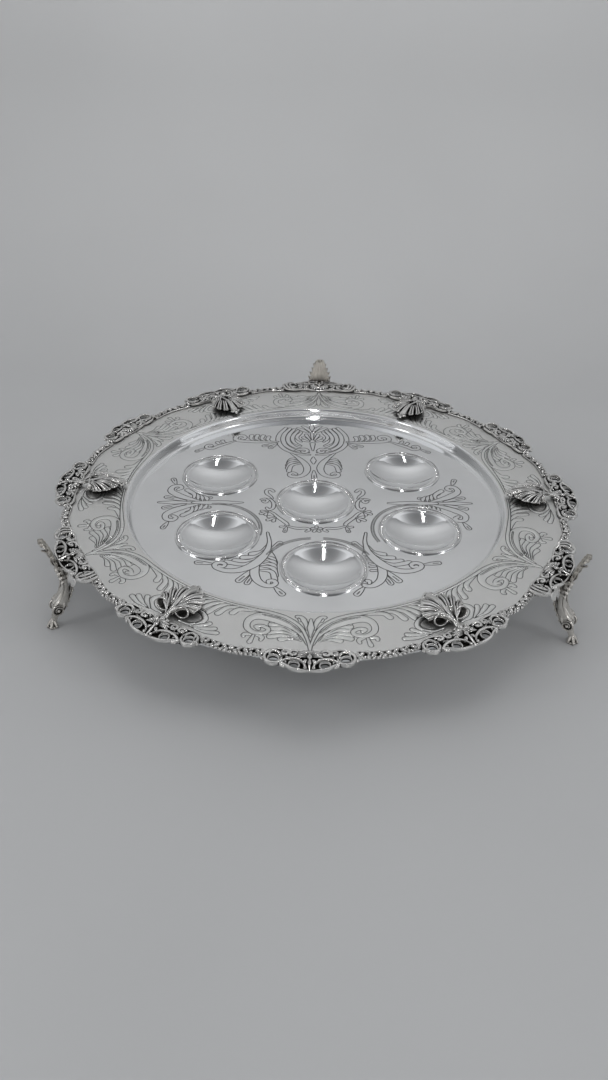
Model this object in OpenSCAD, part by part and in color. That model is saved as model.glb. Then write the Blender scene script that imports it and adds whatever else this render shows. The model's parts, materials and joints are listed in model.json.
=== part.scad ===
// Footed silver salver: a round tray with six sunk wells, a chased border, cast rim
// scrollwork, six acanthus leaves and three cast feet.
// Millimetres. +Z is up, and the origin is the centre of the tray's polished floor.

/* [Tray] */
// Radius of the flat polished floor
floor_r = 152.5; // [145:0.5:155]
// Height of the flat border above the floor
border_h = 9; // [7:0.5:11]
// Radius of the border's outer edge
sheet_r = 207; // [205:0.5:209]
// Thickness of the silver sheet
sheet_t = 1.4; // [1:0.1:1.8]
// Lean of the wall between floor and border, from upright
wall_lean = 10; // [5:1:15]

/* [Wells] */
// Radius of the circle that the five outer wells stand on
well_ring_r = 94.6; // [90:0.2:98]
// Turn of the wells and the floor's pattern against the feet, in degrees
well_turn = 5; // [0:0.5:10]
// Radius of a well's mouth
well_r = 29.6; // [26:0.2:30]
// Radius of the flat seat in the middle of a well
well_seat_r = 10; // [8:0.5:14]
// Depth of a well's seat
well_depth = 8; // [6:0.5:9]
// Width of the gadroon ring round a well
gadroon_w = 4.4; // [3:0.2:5]
// Height of the gadroon ring
gadroon_h = 1.3; // [0.8:0.1:2]
// Depth of the shallow seat that a gadroon ring is set in
ring_seat = 0.2; // [0.1:0.05:0.4]

/* [Rim] */
// Height of the cast rim above the border
rim_h = 3.2; // [2.5:0.1:4]
// Radius of the rim's rail, which the scrollwork and the mouldings share
rail_r = 204.6; // [203:0.2:205]
// Width of the rail
rail_w = 4.4; // [3.5:0.1:5]

/* [Leaves] */
// Radius of the circle that the leaves' stems stand on
leaf_stem_r = 197.4; // [195:0.2:198]
// Length of a leaf, from stem to tip
leaf_l = 38; // [34:0.5:38]
// Half width of a leaf
leaf_half_w = 20; // [16:0.5:22]
// Height of a leaf's crown above the border
leaf_rise = 9; // [6:0.5:11]
// Thickness of a leaf's casting
leaf_t = 1.6; // [1.2:0.1:2]

/* [Feet] */
// Height of the tray's floor above the table
foot_drop = 48.5; // [44:0.5:54]
// Radius of the circle that the soles stand on
sole_circle_r = 231.5; // [231:0.1:232]
// Radius of one sole
sole_r = 4; // [3:0.2:4.2]
// Height of the palmette's tip above the floor
palmette_top = 31; // [27:0.5:33]
// Half width of a palmette
palmette_half_w = 11.6; // [9:0.2:12.6]

/* [Hidden] */
$fn = 96;

well_names = ["middle", "back_right", "back_left", "front_left", "front", "front_right"];
well_angles = [0, 30, 150, 210, 270, 330];
foot_names = ["back", "left", "right"];
foot_angles = [90, 210, 330];
rim_count = 12;
rim_pitch = 360 / rim_count;

polished = "silver";
cast_silver = "darkgray";

function two_digits(n) = n < 10 ? str("0", n) : str(n);
function polar(r, a) = [r * cos(a), r * sin(a)];
function arc(c, r, a0, a1, n) = [for (i = [0:n]) c + polar(r, a0 + (a1 - a0) * i / n)];
function reversed(list) = [for (i = [len(list) - 1:-1:0]) list[i]];
function well_place(i) = i == 0 ? [0, 0] : polar(well_ring_r, well_angles[i] + well_turn);

// Turns its children to an angle, then moves them out to a radius.
module on_ring(r, a) {
    rotate(a) translate([r, 0, 0]) children();
}

// ---------------------------------------------------------------- the tray
cove_r = 3.5;
shoulder_r = 2.5;
cove_c = [floor_r, cove_r];
shoulder_c = [
    floor_r + (cove_r + shoulder_r) * cos(wall_lean)
        + (border_h - cove_r - shoulder_r + (cove_r + shoulder_r) * sin(wall_lean)) * tan(wall_lean),
    border_h - shoulder_r
];

// The line of the sheet at a distance t under its upper face.
function sheet_line(t) = concat(
    [[0, -t]],
    arc(cove_c, cove_r + t, -90, -wall_lean, 6),
    arc(shoulder_c, shoulder_r - t, 180 - wall_lean, 90, 5),
    [[sheet_r, border_h - t]]
);

// A well is a shallow dish: part of a sphere whose centre stands dish_h above the floor.
dish_h = (well_r * well_r - well_seat_r * well_seat_r - well_depth * well_depth) / (2 * well_depth);
dish_r = norm([well_r, dish_h]);

// The dish from a height down to its flat seat, a distance t outside its face.
function well_line(t, top) =
    let (first = asin((dish_h - top) / (dish_r + t)), last = asin((dish_h + well_depth + t) / (dish_r + t)))
    arc([0, dish_h], dish_r + t, -first, -last, 8);

module well_space(t, top) {
    rotate_extrude()
        polygon(concat([[0, top]], well_line(t, top), [[0, -well_depth - t]]));
}

module tray_plate() {
    color(polished)
        difference() {
            union() {
                rotate_extrude() polygon(concat(sheet_line(0), reversed(sheet_line(sheet_t))));
                for (i = [0:5]) translate(well_place(i)) well_space(sheet_t, -sheet_t / 2);
            }
            for (i = [0:5]) translate(well_place(i)) well_space(0, 1);
            for (i = [0:5])
                translate(well_place(i))
                    translate([0, 0, -ring_seat]) cylinder(r = well_r + gadroon_w + 0.05, h = 1);
        }
}

// ---------------------------------------------------------------- the wells' gadroon rings
module well_ring(i) {
    bead = gadroon_h / 2;
    color(polished)
        translate(well_place(i))
            rotate_extrude()
                polygon(concat(
                    [[well_r + 0.2, -ring_seat], [well_r + 0.5, 0.35]],
                    arc([well_r + gadroon_w - bead, bead], bead, 120, 0, 6),
                    [[well_r + gadroon_w, -ring_seat]]
                ));
}

// ---------------------------------------------------------------- the cast rim
// Every fourth cartouche carries a foot, and those half way between the feet carry no leaf.
function rim_kind(k) = k % 4 == 3 ? "foot" : k % 4 == 1 ? "plain" : "leaf";
function half_length(k) = rim_kind(k) == "foot" ? 37 : rim_kind(k) == "leaf" ? 35 : 31;
function half_angle(k) = half_length(k) / rail_r * 180 / PI;

module rail_bar(a, w, h) {
    rotate(-a)
        rotate_extrude(angle = 2 * a, $fn = 180)
            polygon([
                [rail_r - w / 2, 0], [rail_r + w / 2, 0],
                [rail_r + w / 2, h * 0.6], [rail_r + w / 4, h],
                [rail_r - w / 4, h], [rail_r - w / 2, h * 0.6]
            ]);
}

// Scrolls of a cartouche: distance outside the rail, arc distance from the middle, radius and eye.
function scrolls(k) = [
    [6.4, 14.2, 6, 3.8],
    [5.0, half_length(k) - 8.2, 5.4, 3.3],
    [-1.4, 9.4, 3.2, 1.5],
    [-1.4, half_length(k) - 14.6, 3, 1.4]
];

module at_scroll(s, side) {
    on_ring(rail_r + s[0], side * s[1] / rail_r * 180 / PI) children();
}

// Flat outline of a cartouche: the rail, its scrolls with open eyes, and a shell of five lobes.
module cartouche_outline(k) {
    difference() {
        union() {
            rotate(-half_angle(k)) rotate_sector(rail_r - rail_w / 2, rail_r + rail_w / 2, 2 * half_angle(k));
            for (s = scrolls(k), side = [-1, 1]) at_scroll(s, side) circle(r = s[2], $fn = 40);
            on_ring(rail_r + 4.4, 0) circle(r = 6.2, $fn = 40);
            for (i = [-2:2]) on_ring(rail_r + 3.2, 0) rotate(i * 38) translate([6.2, 0]) circle(r = 2, $fn = 24);
        }
        for (s = scrolls(k), side = [-1, 1]) at_scroll(s, side) circle(r = s[3], $fn = 32);
    }
}

// Flat sector of a ring, from the X axis round by an angle under 90 degrees.
module rotate_sector(inner, outer, angle) {
    far = 2 * outer;
    difference() {
        circle(r = outer, $fn = 180);
        circle(r = inner, $fn = 180);
        polygon([[0, 0], polar(far, angle), polar(far, angle + 90), polar(far, 180), polar(far, 270), [far, 0]]);
    }
}

module rim_scrollwork(k) {
    color(cast_silver)
        rotate(k * rim_pitch)
            translate([0, 0, border_h]) {
                linear_extrude(rim_h) cartouche_outline(k);
                on_ring(rail_r + 4.4, 0) translate([0, 0, rim_h - 1.6]) sphere(r = 3.4, $fn = 32);
                on_ring(rail_r - 2, 0) cylinder(r = 3.4, h = rim_h + 0.8, $fn = 32);
            }
}

// The moulding between two cartouches: a rail with a small leaf knop at its middle.
module rim_moulding(k) {
    from = k * rim_pitch + half_angle(k);
    to = (k + 1) * rim_pitch - half_angle(k + 1);
    color(cast_silver)
        rotate((from + to) / 2)
            translate([0, 0, border_h]) {
                rail_bar((to - from) / 2, rail_w, rim_h - 0.6);
                on_ring(rail_r + 0.6, 0) cylinder(r = 2.9, h = rim_h, $fn = 32);
                for (side = [-1, 1])
                    on_ring(rail_r + 0.3, side * 1.3) cylinder(r = 2.4, h = rim_h - 0.3, $fn = 28);
            }
}

// ---------------------------------------------------------------- shells from grids
// A closed thin solid between two grids of points with the same rows and columns. Seen from
// outside, the near grid's cells run clockwise.
module grid_solid(near, far) {
    rows = len(near);
    cols = len(near[0]);
    count = rows * cols;
    points = concat([for (row = near) each row], [for (row = far) each row]);
    function at(i, j) = i * cols + j;
    cells = [for (i = [0:rows - 2], j = [0:cols - 2]) [at(i, j), at(i, j + 1), at(i + 1, j + 1), at(i + 1, j)]];
    border = concat(
        [for (j = [0:cols - 2]) [at(0, j + 1), at(0, j)]],
        [for (i = [0:rows - 2]) [at(i, 0), at(i + 1, 0)]],
        [for (j = [0:cols - 2]) [at(rows - 1, j), at(rows - 1, j + 1)]],
        [for (i = [0:rows - 2]) [at(i + 1, cols - 1), at(i, cols - 1)]]
    );
    faces = concat(
        [for (c = cells) each [[c[0], c[1], c[2]], [c[0], c[2], c[3]]]],
        [for (c = cells) each [[c[2] + count, c[1] + count, c[0] + count], [c[3] + count, c[2] + count, c[0] + count]]],
        [for (e = border) each [[e[0], e[1], e[1] + count], [e[0], e[1] + count, e[0] + count]]]
    );
    polyhedron(points = points, faces = faces);
}

// ---------------------------------------------------------------- acanthus leaves
leaf_angles = [for (k = [0:rim_count - 1]) if (rim_kind(k) == "leaf") k * rim_pitch];
leaf_fan = 118;
leaf_lobes = 9;

// Reach of the blade from the stem at an angle across the fan, with rounded lobes.
function leaf_reach(q) =
    let (body = leaf_half_w * 1.16 * (1 - 0.52 * pow(abs(q) / leaf_fan, 2.2)),
         tip = (leaf_l - leaf_half_w * 1.16) * exp(-pow(q / 21, 2)))
    (body + tip) * (0.955 + 0.045 * cos(q / leaf_fan * 180 * leaf_lobes));
// Height of the blade above the border: low at the stem, crowned, and drooping to the margin.
function leaf_height(q, v) =
    let (side = pow(sin(min(abs(q), 90)), 2))
    2.2 + (leaf_rise - 2.2) * (0.62 + 0.38 * side) * pow(sin(180 * min(1, v * 0.86 + 0.02)), 0.9)
        - (1 - side) * 0.6 * v;
function leaf_point(q, v, t) =
    [-leaf_reach(q) * v * cos(q), leaf_reach(q) * v * sin(q), leaf_height(q, v) - t];

module leaf_blade() {
    fan_steps = 36;
    vein_steps = 6;
    function grid(t) = [
        for (i = [0:vein_steps])
            let (v = 0.1 + 0.9 * i / vein_steps)
            [for (j = [0:fan_steps]) leaf_point(-leaf_fan + 2 * leaf_fan * j / fan_steps, v, t)]
    ];
    grid_solid(grid(leaf_t), grid(0));
}

module acanthus_leaf(n) {
    color(cast_silver)
        translate([0, 0, border_h])
            on_ring(leaf_stem_r, leaf_angles[n - 1]) {
                leaf_blade();
                translate([-3.4, 0, 0]) cylinder(r = 3.4, h = 3.6, $fn = 32);
                translate([2.6 - leaf_l, 0, 0]) cylinder(r = 2.4, h = 3.4, $fn = 28);
            }
}

// ---------------------------------------------------------------- feet
// Stations down a leg: height, radius of its middle, half depth and half width.
leg_top = 8;
leg_stations = [
    [leg_top, 219.6, 2.5, 4.2], [2, 218.7, 2.6, 3.6], [-4, 217.5, 2.5, 3.1], [-10, 217.0, 2.5, 2.9],
    [-16, 217.8, 2.8, 3.0], [-22, 220.0, 3.6, 3.3], [-27, 222.6, 5.0, 4.2], [-32, 225.5, 6.0, 5.0],
    [-37, 227.8, 5.5, 4.9], [-41, 229.4, 4.3, 4.0], [-44.5, 230.9, 3.6, 3.7], [-46.6, 231.5, 3.9, 3.9]
];
leg_sides = 16;
lug_top = border_h - sheet_t - 2;

// A solid with a closed ring of points at each station.
module ring_solid(rings) {
    n = len(rings[0]);
    last = len(rings) - 1;
    points = [for (ring = rings) each ring];
    sides = [
        for (i = [0:last - 1], j = [0:n - 1])
            let (a = i * n + j, b = i * n + (j + 1) % n)
            each [[a, b, b + n], [a, b + n, a + n]]
    ];
    polyhedron(points = points,
               faces = concat([[for (j = [n - 1:-1:0]) j]], sides, [[for (j = [0:n - 1]) last * n + j]]));
}

function leg_ring(s) = [
    for (j = [0:leg_sides - 1])
        let (a = 360 * j / leg_sides)
        [s[1] + s[2] * cos(a), s[3] * sin(a), s[0]]
];

module foot_leg(i) {
    color(cast_silver)
        rotate(foot_angles[i]) {
            ring_solid([for (s = leg_stations) leg_ring(s)]);
            translate([sole_circle_r, 0, -foot_drop]) cylinder(r = sole_r, h = 2.6, $fn = 40);
            translate([205, -4, lug_top - 3.2]) cube([13.4, 8, 3.2]);
        }
}

// The pierced plate under the border that carries a leg, with leaf drops along its outer edge.
module foot_bracket(i) {
    drops = 7;
    color(cast_silver)
        rotate(foot_angles[i]) {
            translate([0, 0, lug_top])
                difference() {
                    union() {
                        translate([197, 0, 0]) cylinder(r = 11, h = 2, $fn = 60);
                        translate([197, -9, 0]) cube([17.6, 18, 2]);
                        rotate(-6.5) rotate_extrude(angle = 13, $fn = 180) translate([206, 0]) square([7, 2]);
                    }
                    for (side = [-1, 1]) translate([204.5, side * 6.4, -1]) cylinder(r = 2.2, h = 4, $fn = 28);
                }
            for (j = [0:drops - 1])
                let (a = (j - (drops - 1) / 2) * 2)
                if (abs(a) > 1)
                    on_ring(211.4, a) translate([0, 0, lug_top - 7 + abs(a)]) cylinder(r1 = 0.8, r2 = 1.7, h = 7.4 - abs(a), $fn = 20);
        }
}

// Half width of a palmette at a share of its height.
function palmette_width(v) = v < 0.24
    ? 4 + (palmette_half_w - 4) * sin(90 * v / 0.24)
    : palmette_half_w * pow(cos(90 * (v - 0.24) / 0.80), 0.62);

module foot_palmette(i) {
    steps = 10;
    cols = 12;
    thick = 1.8;
    lean = 0.25;
    dish = 2.6;
    function grid(t) = [
        for (a = [0:steps])
            let (v = a / steps, z = leg_top + (palmette_top - leg_top) * v, w = palmette_width(v))
            [for (b = [0:cols])
                let (u = 2 * b / cols - 1)
                [220 + t + lean * (z - leg_top) - dish * u * u * sin(180 * min(1, v + 0.05)), u * w, z]]
    ];
    color(cast_silver)
        rotate(foot_angles[i]) {
            grid_solid(grid(0), grid(thick));
            translate([220 + thick / 2 + lean * (palmette_top - leg_top), 0, palmette_top - 0.6])
                sphere(r = 2.6, $fn = 32);
        }
}

// ---------------------------------------------------------------- drawing
tray_plate();
for (i = [0:5])
    well_ring(i);
for (k = [0:rim_count - 1]) {
    rim_scrollwork(k);
    rim_moulding(k);
}
for (n = [1:len(leaf_angles)])
    acanthus_leaf(n);
for (i = [0:2]) {
    foot_bracket(i);
    foot_leg(i);
    foot_palmette(i);
}
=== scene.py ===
"""Looks of the footed silver salver: chased tray, gadroon rings, cast rim, leaves and feet.

Shapes are worked out in millimetres in the part's own frame and turned into metres by Cast.piece().
"""
import copy
import json
import math

import bmesh
import bpy
import numpy as np
from mathutils import Matrix, Vector
from mathutils.geometry import delaunay_2d_cdt


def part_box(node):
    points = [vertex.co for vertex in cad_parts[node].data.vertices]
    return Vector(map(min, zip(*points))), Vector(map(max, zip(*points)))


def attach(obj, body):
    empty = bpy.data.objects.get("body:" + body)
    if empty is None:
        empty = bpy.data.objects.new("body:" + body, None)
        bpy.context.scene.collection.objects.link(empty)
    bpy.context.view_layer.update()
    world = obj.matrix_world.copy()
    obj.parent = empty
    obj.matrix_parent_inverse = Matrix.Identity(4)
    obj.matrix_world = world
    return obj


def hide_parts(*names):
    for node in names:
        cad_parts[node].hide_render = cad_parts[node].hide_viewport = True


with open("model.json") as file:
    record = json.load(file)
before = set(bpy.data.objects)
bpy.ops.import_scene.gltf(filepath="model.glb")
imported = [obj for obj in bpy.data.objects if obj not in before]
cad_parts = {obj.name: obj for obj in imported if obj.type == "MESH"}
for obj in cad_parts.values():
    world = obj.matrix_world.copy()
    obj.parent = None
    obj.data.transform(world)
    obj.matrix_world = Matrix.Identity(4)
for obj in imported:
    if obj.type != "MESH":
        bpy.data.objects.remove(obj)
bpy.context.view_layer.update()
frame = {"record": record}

MM = 0.001
MOUNTS = {m["name"]: np.array(m["pos_m"]) / MM for m in frame["record"]["mounts"]}


def top_corner(node):
    """A CAD node's highest x, y and z, in millimetres."""
    return np.array(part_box(node)[1]) / MM


# ------------------------------------------------------------------ sizes
# The frame gives the outer sizes and the places of the wells and soles.
SHEET_R, _, BORDER_Z = top_corner("tray_plate")
RING_R, _, RING_TOP = top_corner("well_ring_middle")
_, SOLE_R, GROUND_Z = MOUNTS["sole_back"]
WELLS = {
    name.replace("well_seat_", ""): place
    for name, place in MOUNTS.items()
    if name.startswith("well_seat_")
}
# These are the CAD source's own.
FLOOR_R = 152.5
SHEET_T = 1.4
RAIL_R = 204.6
WELL_R = 29.6
SEAT_R = 10.0
COVE_R = 3.5
SHOULDER_BEND = 2.5
WALL_LEAN = 10
FEET = {"back": 90.0, "left": 210.0, "right": 330.0}
RIM_COUNT = 12
PITCH = 360.0 / RIM_COUNT
# A well is part of a sphere, which a flat seat cuts off in CAD.
WELL_DEPTH = -WELLS["middle"][2]
DISH_H = (WELL_R**2 - SEAT_R**2 - WELL_DEPTH**2) / (2 * WELL_DEPTH)
DISH_R = math.hypot(WELL_R, DISH_H)
# The looks add the chased border's inner edge, the engraving's turn and the circles' steps.
CHASED_R = 159.2
FLOOR_TURN = 2.5
CIRCLE_STEPS = 720
WELL_STEPS = 144


# ------------------------------------------------------------------ curves
def curve(points, step=1.0):
    """A smooth curve through the points, as points about a step apart."""
    p = np.array(points, float)
    ends = np.vstack([2 * p[0] - p[1], p, 2 * p[-1] - p[-2]])
    out = []
    for a, b, c, d in zip(ends, ends[1:], ends[2:], ends[3:]):
        count = max(2, int(np.ceil(np.linalg.norm(c - b) / step)))
        t = np.linspace(0, 1, count, endpoint=False)[:, None]
        bend = 2 * a - 5 * b + 4 * c - d
        out.append(0.5 * (2 * b + (c - a) * t + bend * t**2 + (3 * b - a - 3 * c + d) * t**3))
    out.append(p[-1:])
    return np.vstack(out)


def run_length(path):
    """How far along its path each point lies, in millimetres."""
    return np.concatenate([[0], np.cumsum(np.linalg.norm(np.diff(path, axis=0), axis=1))])


def along(path, values):
    """Values given at even spacing along a path, worked out at each of its points."""
    run = run_length(path)
    return np.interp(run / run[-1], np.linspace(0, 1, np.size(values)), np.atleast_1d(values))


def unit(vectors):
    return vectors / (np.linalg.norm(vectors, axis=-1, keepdims=True) + 1e-9)


def headings(path):
    return unit(np.gradient(path, axis=0))


def polar(r, degrees):
    a = np.radians(degrees)
    return np.stack([r * np.cos(a), r * np.sin(a)], axis=-1)


def circle(centre, r, steps):
    return np.array(centre[:2]) + polar(r, np.arange(steps) * 360 / steps)


def spiral(centre, start_r, end_r, start, end, step=0.8):
    """A flat spiral round a centre, between two angles in degrees."""
    count = max(8, int(abs(end - start) / 360 * 2 * math.pi * max(start_r, end_r) / step))
    return np.array(centre) + polar(np.linspace(start_r, end_r, count), np.linspace(start, end, count))


def turned(points, degrees):
    """Points turned about the upright axis; heights stay as they are."""
    a = math.radians(degrees)
    out = np.array(points, float)
    out[:, :2] = out[:, :2] @ np.array([[math.cos(a), math.sin(a)], [-math.sin(a), math.cos(a)]])
    return out


def turned_by(degrees):
    return lambda p: turned(p, degrees)


def moved_by(offset):
    return lambda p: p + offset


def raised(flat, z):
    """Flat points at one height, or each at its own."""
    return np.column_stack([flat, np.broadcast_to(z, len(flat))])


def level(path, heights):
    """A flat path lifted to heights given at even spacing along it."""
    return raised(path, along(np.asarray(path, float), heights))


# ------------------------------------------------------------------ castings
class Cast:
    """Points and faces of one piece, gathered in millimetres."""

    def __init__(self):
        self.points = []
        self.faces = []
        self.slots = []
        self.count = 0

    def add(self, points, faces, slot=0):
        """Adds points and faces; slot is one material slot for all the faces, or one for each."""
        self.points.append(np.asarray(points, float))
        self.faces += [tuple(int(i) + self.count for i in f) for f in faces]
        self.slots += [slot] * len(faces) if np.isscalar(slot) else list(slot)
        self.count += len(points)

    def grid(self, rows, closed=False, slot=0, caps=False):
        """A sheet through rows of points; closed joins each row's ends, caps closes the first and last."""
        rows = np.asarray(rows, float)
        m, n = rows.shape[:2]
        faces = []
        for i in range(m - 1):
            for j in range(n if closed else n - 1):
                a = i * n + j
                b = i * n + (j + 1) % n
                faces.append((a, b, b + n, a + n))
        if caps:
            faces.append(tuple(range(n - 1, -1, -1)))
            faces.append(tuple(range((m - 1) * n, m * n)))
        self.add(rows.reshape(-1, 3), faces, slot)

    def tube(self, path, width, height, sides=8, up=(0, 0, 1), keel=0.0):
        """A rod swept along a path, with half widths and half heights, and a keel that sharpens its top."""
        path = np.asarray(path, float)
        width = along(path, width)
        height = along(path, height)
        ahead = headings(path)
        side = unit(np.cross(np.array(up, float), ahead))
        top = np.cross(ahead, side)
        rows = []
        for j in range(sides):
            a = 2 * math.pi * (j + 0.5) / sides
            lift = math.sin(a) + keel * max(0.0, math.sin(a)) ** 6
            rows.append(path + side * (math.cos(a) * width)[:, None] + top * (lift * height)[:, None])
        self.grid(np.stack(rows, axis=1), closed=True, caps=True)

    def petal(self, root, tip, width, height, rise=0.0, bulge=0.55):
        """A leaf-like blob from root to tip, widest at the bulge, with a groove down its back."""
        root = np.array(root, float)
        ahead = np.array(tip, float) - root
        across = unit(np.cross([0, 0, 1], ahead)) * width
        power = math.log(0.5) / math.log(bulge)
        a = np.arange(10) * math.pi / 5
        groove = 0.35 * np.exp(-((np.cos(a) / 0.35) ** 2)) * (np.sin(a) > 0)
        section = np.outer(np.cos(a), across) + np.outer(np.sin(a) * (1 - groove), [0, 0, height])
        rows = []
        for t in np.linspace(0, 1, 10):
            swell = max(math.sin(math.pi * t**power) ** 0.7, 0.04)
            rows.append(root + ahead * t + [0, 0, rise * math.sin(math.pi * t)] + section * swell)
        self.grid(rows, closed=True, caps=True)

    def bead(self, centre, r, height):
        """A rounded bead, squashed to a half height."""
        rows = []
        for a in np.arange(1, 8) * math.pi / 8:
            rows.append(raised(circle(centre, r * math.sin(a), 12), centre[2] + height * math.cos(a)))
        self.grid(rows, closed=True, caps=True)

    def array(self):
        return np.vstack(self.points)

    def mapped(self, change):
        """The same casting with its points moved by a function."""
        other = Cast()
        other.add(change(self.array()), self.faces, self.slots)
        return other

    def join(self, other):
        self.add(other.array(), other.faces, other.slots)

    def piece(self, name, materials, nodes, slot, sharp=40.0, weld=0.0):
        """Makes the Blender object, rides it on the salver and lets it stand for its CAD nodes."""
        mesh = bpy.data.meshes.new(name)
        mesh.from_pydata((self.array() * MM).tolist(), [], self.faces)
        for material in materials:
            mesh.materials.append(material)
        mesh.polygons.foreach_set("material_index", self.slots)
        work = bmesh.new()
        work.from_mesh(mesh)
        if weld:
            bmesh.ops.remove_doubles(work, verts=work.verts, dist=weld * MM)
        bmesh.ops.dissolve_degenerate(work, edges=work.edges, dist=1e-7)
        bmesh.ops.recalc_face_normals(work, faces=work.faces)
        work.to_mesh(mesh)
        work.free()
        mesh.polygons.foreach_set("use_smooth", [True] * len(mesh.polygons))
        mesh.set_sharp_from_angle(angle=math.radians(sharp))
        mesh.validate()
        made = bpy.data.objects.new(name, mesh)
        bpy.context.scene.collection.objects.link(made)
        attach(made, "root")
        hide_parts(*nodes)
        return made


def flipped(cast):
    """A mirror image across X, with its faces turned the right way out."""
    other = cast.mapped(lambda p: p * [-1, 1, 1])
    other.faces = [tuple(reversed(f)) for f in other.faces]
    return other


# ------------------------------------------------------------------ chasing
GROUND, ORNAMENT, LINE = 0, 1, 2
# What the tests of whether a point lies inside a circle's chords or a band's edge have to spare.
CHORD_SLACK = 0.01
EDGE_SLACK = 1e-6
# Corners that lie closer than this become one.
CORNER_WELD = 0.04


class Ribbon:
    """A chased band: a path with half widths, raised by a lift and outlined by a groove."""

    def __init__(self, points, widths, lift=0.0, groove=0.85, depth=0.4, step=1.0):
        self.path = curve(points, step)
        self.half = along(self.path, widths)
        self.lift = lift
        self.groove = groove
        self.depth = depth

    def moved(self, change):
        other = copy.copy(self)
        other.path = change(self.path)
        return other

    def outline(self, offset):
        """The closed line that runs at an offset outside the band's edge."""
        ahead = headings(self.path)
        side = np.column_stack([-ahead[:, 1], ahead[:, 0]])
        reach = (self.half + offset)[:, None]
        caps = []
        for k, (x, y) in ((-1, side[-1]), (0, -side[0])):
            r = self.half[k] + offset
            start = math.degrees(math.atan2(y, x))
            a = np.linspace(start, start - 180, max(3, int(r * 3)) + 2)[1:-1]
            caps.append(self.path[k] + polar(r, a))
        return np.vstack([self.path + side * reach, caps[0], (self.path - side * reach)[::-1], caps[1]])

    def distance(self, q):
        """Signed distance of points from the band's edge, and the band's half width beside them."""
        best = np.full(len(q), 1e9)
        half = np.ones(len(q))
        for a, b, wa, wb in zip(self.path, self.path[1:], self.half, self.half[1:]):
            step = b - a
            t = np.clip((q - a) @ step / (step @ step + 1e-12), 0, 1)
            w = wa + (wb - wa) * t
            d = np.linalg.norm(q - a - t[:, None] * step, axis=1) - w
            closer = d < best
            best[closer] = d[closer]
            half[closer] = w[closer]
        return best, half


def chase(ribbons, q):
    """Height and kind of the chased surface at points; a later ribbon lies over an earlier one."""
    z = np.zeros(len(q))
    kind = np.full(len(q), GROUND)
    for ribbon in ribbons:
        reach = ribbon.half.max() + ribbon.groove
        near = np.all((q > ribbon.path.min(0) - reach) & (q < ribbon.path.max(0) + reach), axis=1)
        where = np.nonzero(near)[0]
        if not len(where):
            continue
        d, half = ribbon.distance(q[where])
        inside = d <= EDGE_SLACK
        crown = 1 - (1 - np.clip(-d / np.maximum(half, 0.2), 0, 1)) ** 2
        z[where[inside]] = ribbon.lift * crown[inside]
        kind[where[inside]] = ORNAMENT
        cut = ~inside & (d < ribbon.groove)
        z[where[cut]] = -ribbon.depth * (1 - np.abs(2 * d[cut] / ribbon.groove - 1))
        kind[where[cut]] = LINE
    return z, kind


def triangulate(loops, lines):
    """Triangles over flat points that follow every loop and line."""
    points = []
    edges = []
    for path, closed in [(p, True) for p in loops] + [(p, False) for p in lines]:
        start = len(points)
        points += path.tolist()
        edges += [(start + i, start + i + 1) for i in range(len(path) - 1)]
        if closed:
            edges.append((start + len(path) - 1, start))
    made = delaunay_2d_cdt([Vector(p) for p in points], edges, [], 0, CORNER_WELD)
    return np.array([tuple(v) for v in made[0]]), np.array(made[2])


def used_only(points, faces):
    """Only the points that some face uses, and the faces renumbered to match."""
    used = np.unique(faces)
    place = np.full(len(points), -1)
    place[used] = np.arange(len(used))
    return points[used], place[faces]


def chased_sheet(ribbons, loops, lines, keep):
    """Points, triangles and kinds of a flat sheet with its ribbons chased into it."""
    loops = list(loops)
    lines = list(lines)
    for ribbon in ribbons:
        for offset in (0.0, ribbon.groove / 2, ribbon.groove):
            loops.append(ribbon.outline(offset))
        if ribbon.lift:
            lines.append(ribbon.path)
            loops.append(ribbon.outline(-0.5 * ribbon.half.mean()))
    q, faces = triangulate(loops, lines)
    faces = faces[keep(q[faces].mean(axis=1))]
    z = chase(ribbons, q)[0]
    kind = chase(ribbons, q[faces].mean(axis=1))[1]
    return *used_only(np.column_stack([q, z]), faces), kind


# ------------------------------------------------------------------ the border's ornament
def border_ribbon(pairs, widths, lift=0.35):
    """A raised band through (angle, radius) pairs, with the angle in degrees from a scroll's middle."""
    angles, radii = np.array(pairs, float).T
    return Ribbon(polar(radii, angles), widths, lift=lift, groove=0.55, depth=0.35, step=1.1)


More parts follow.
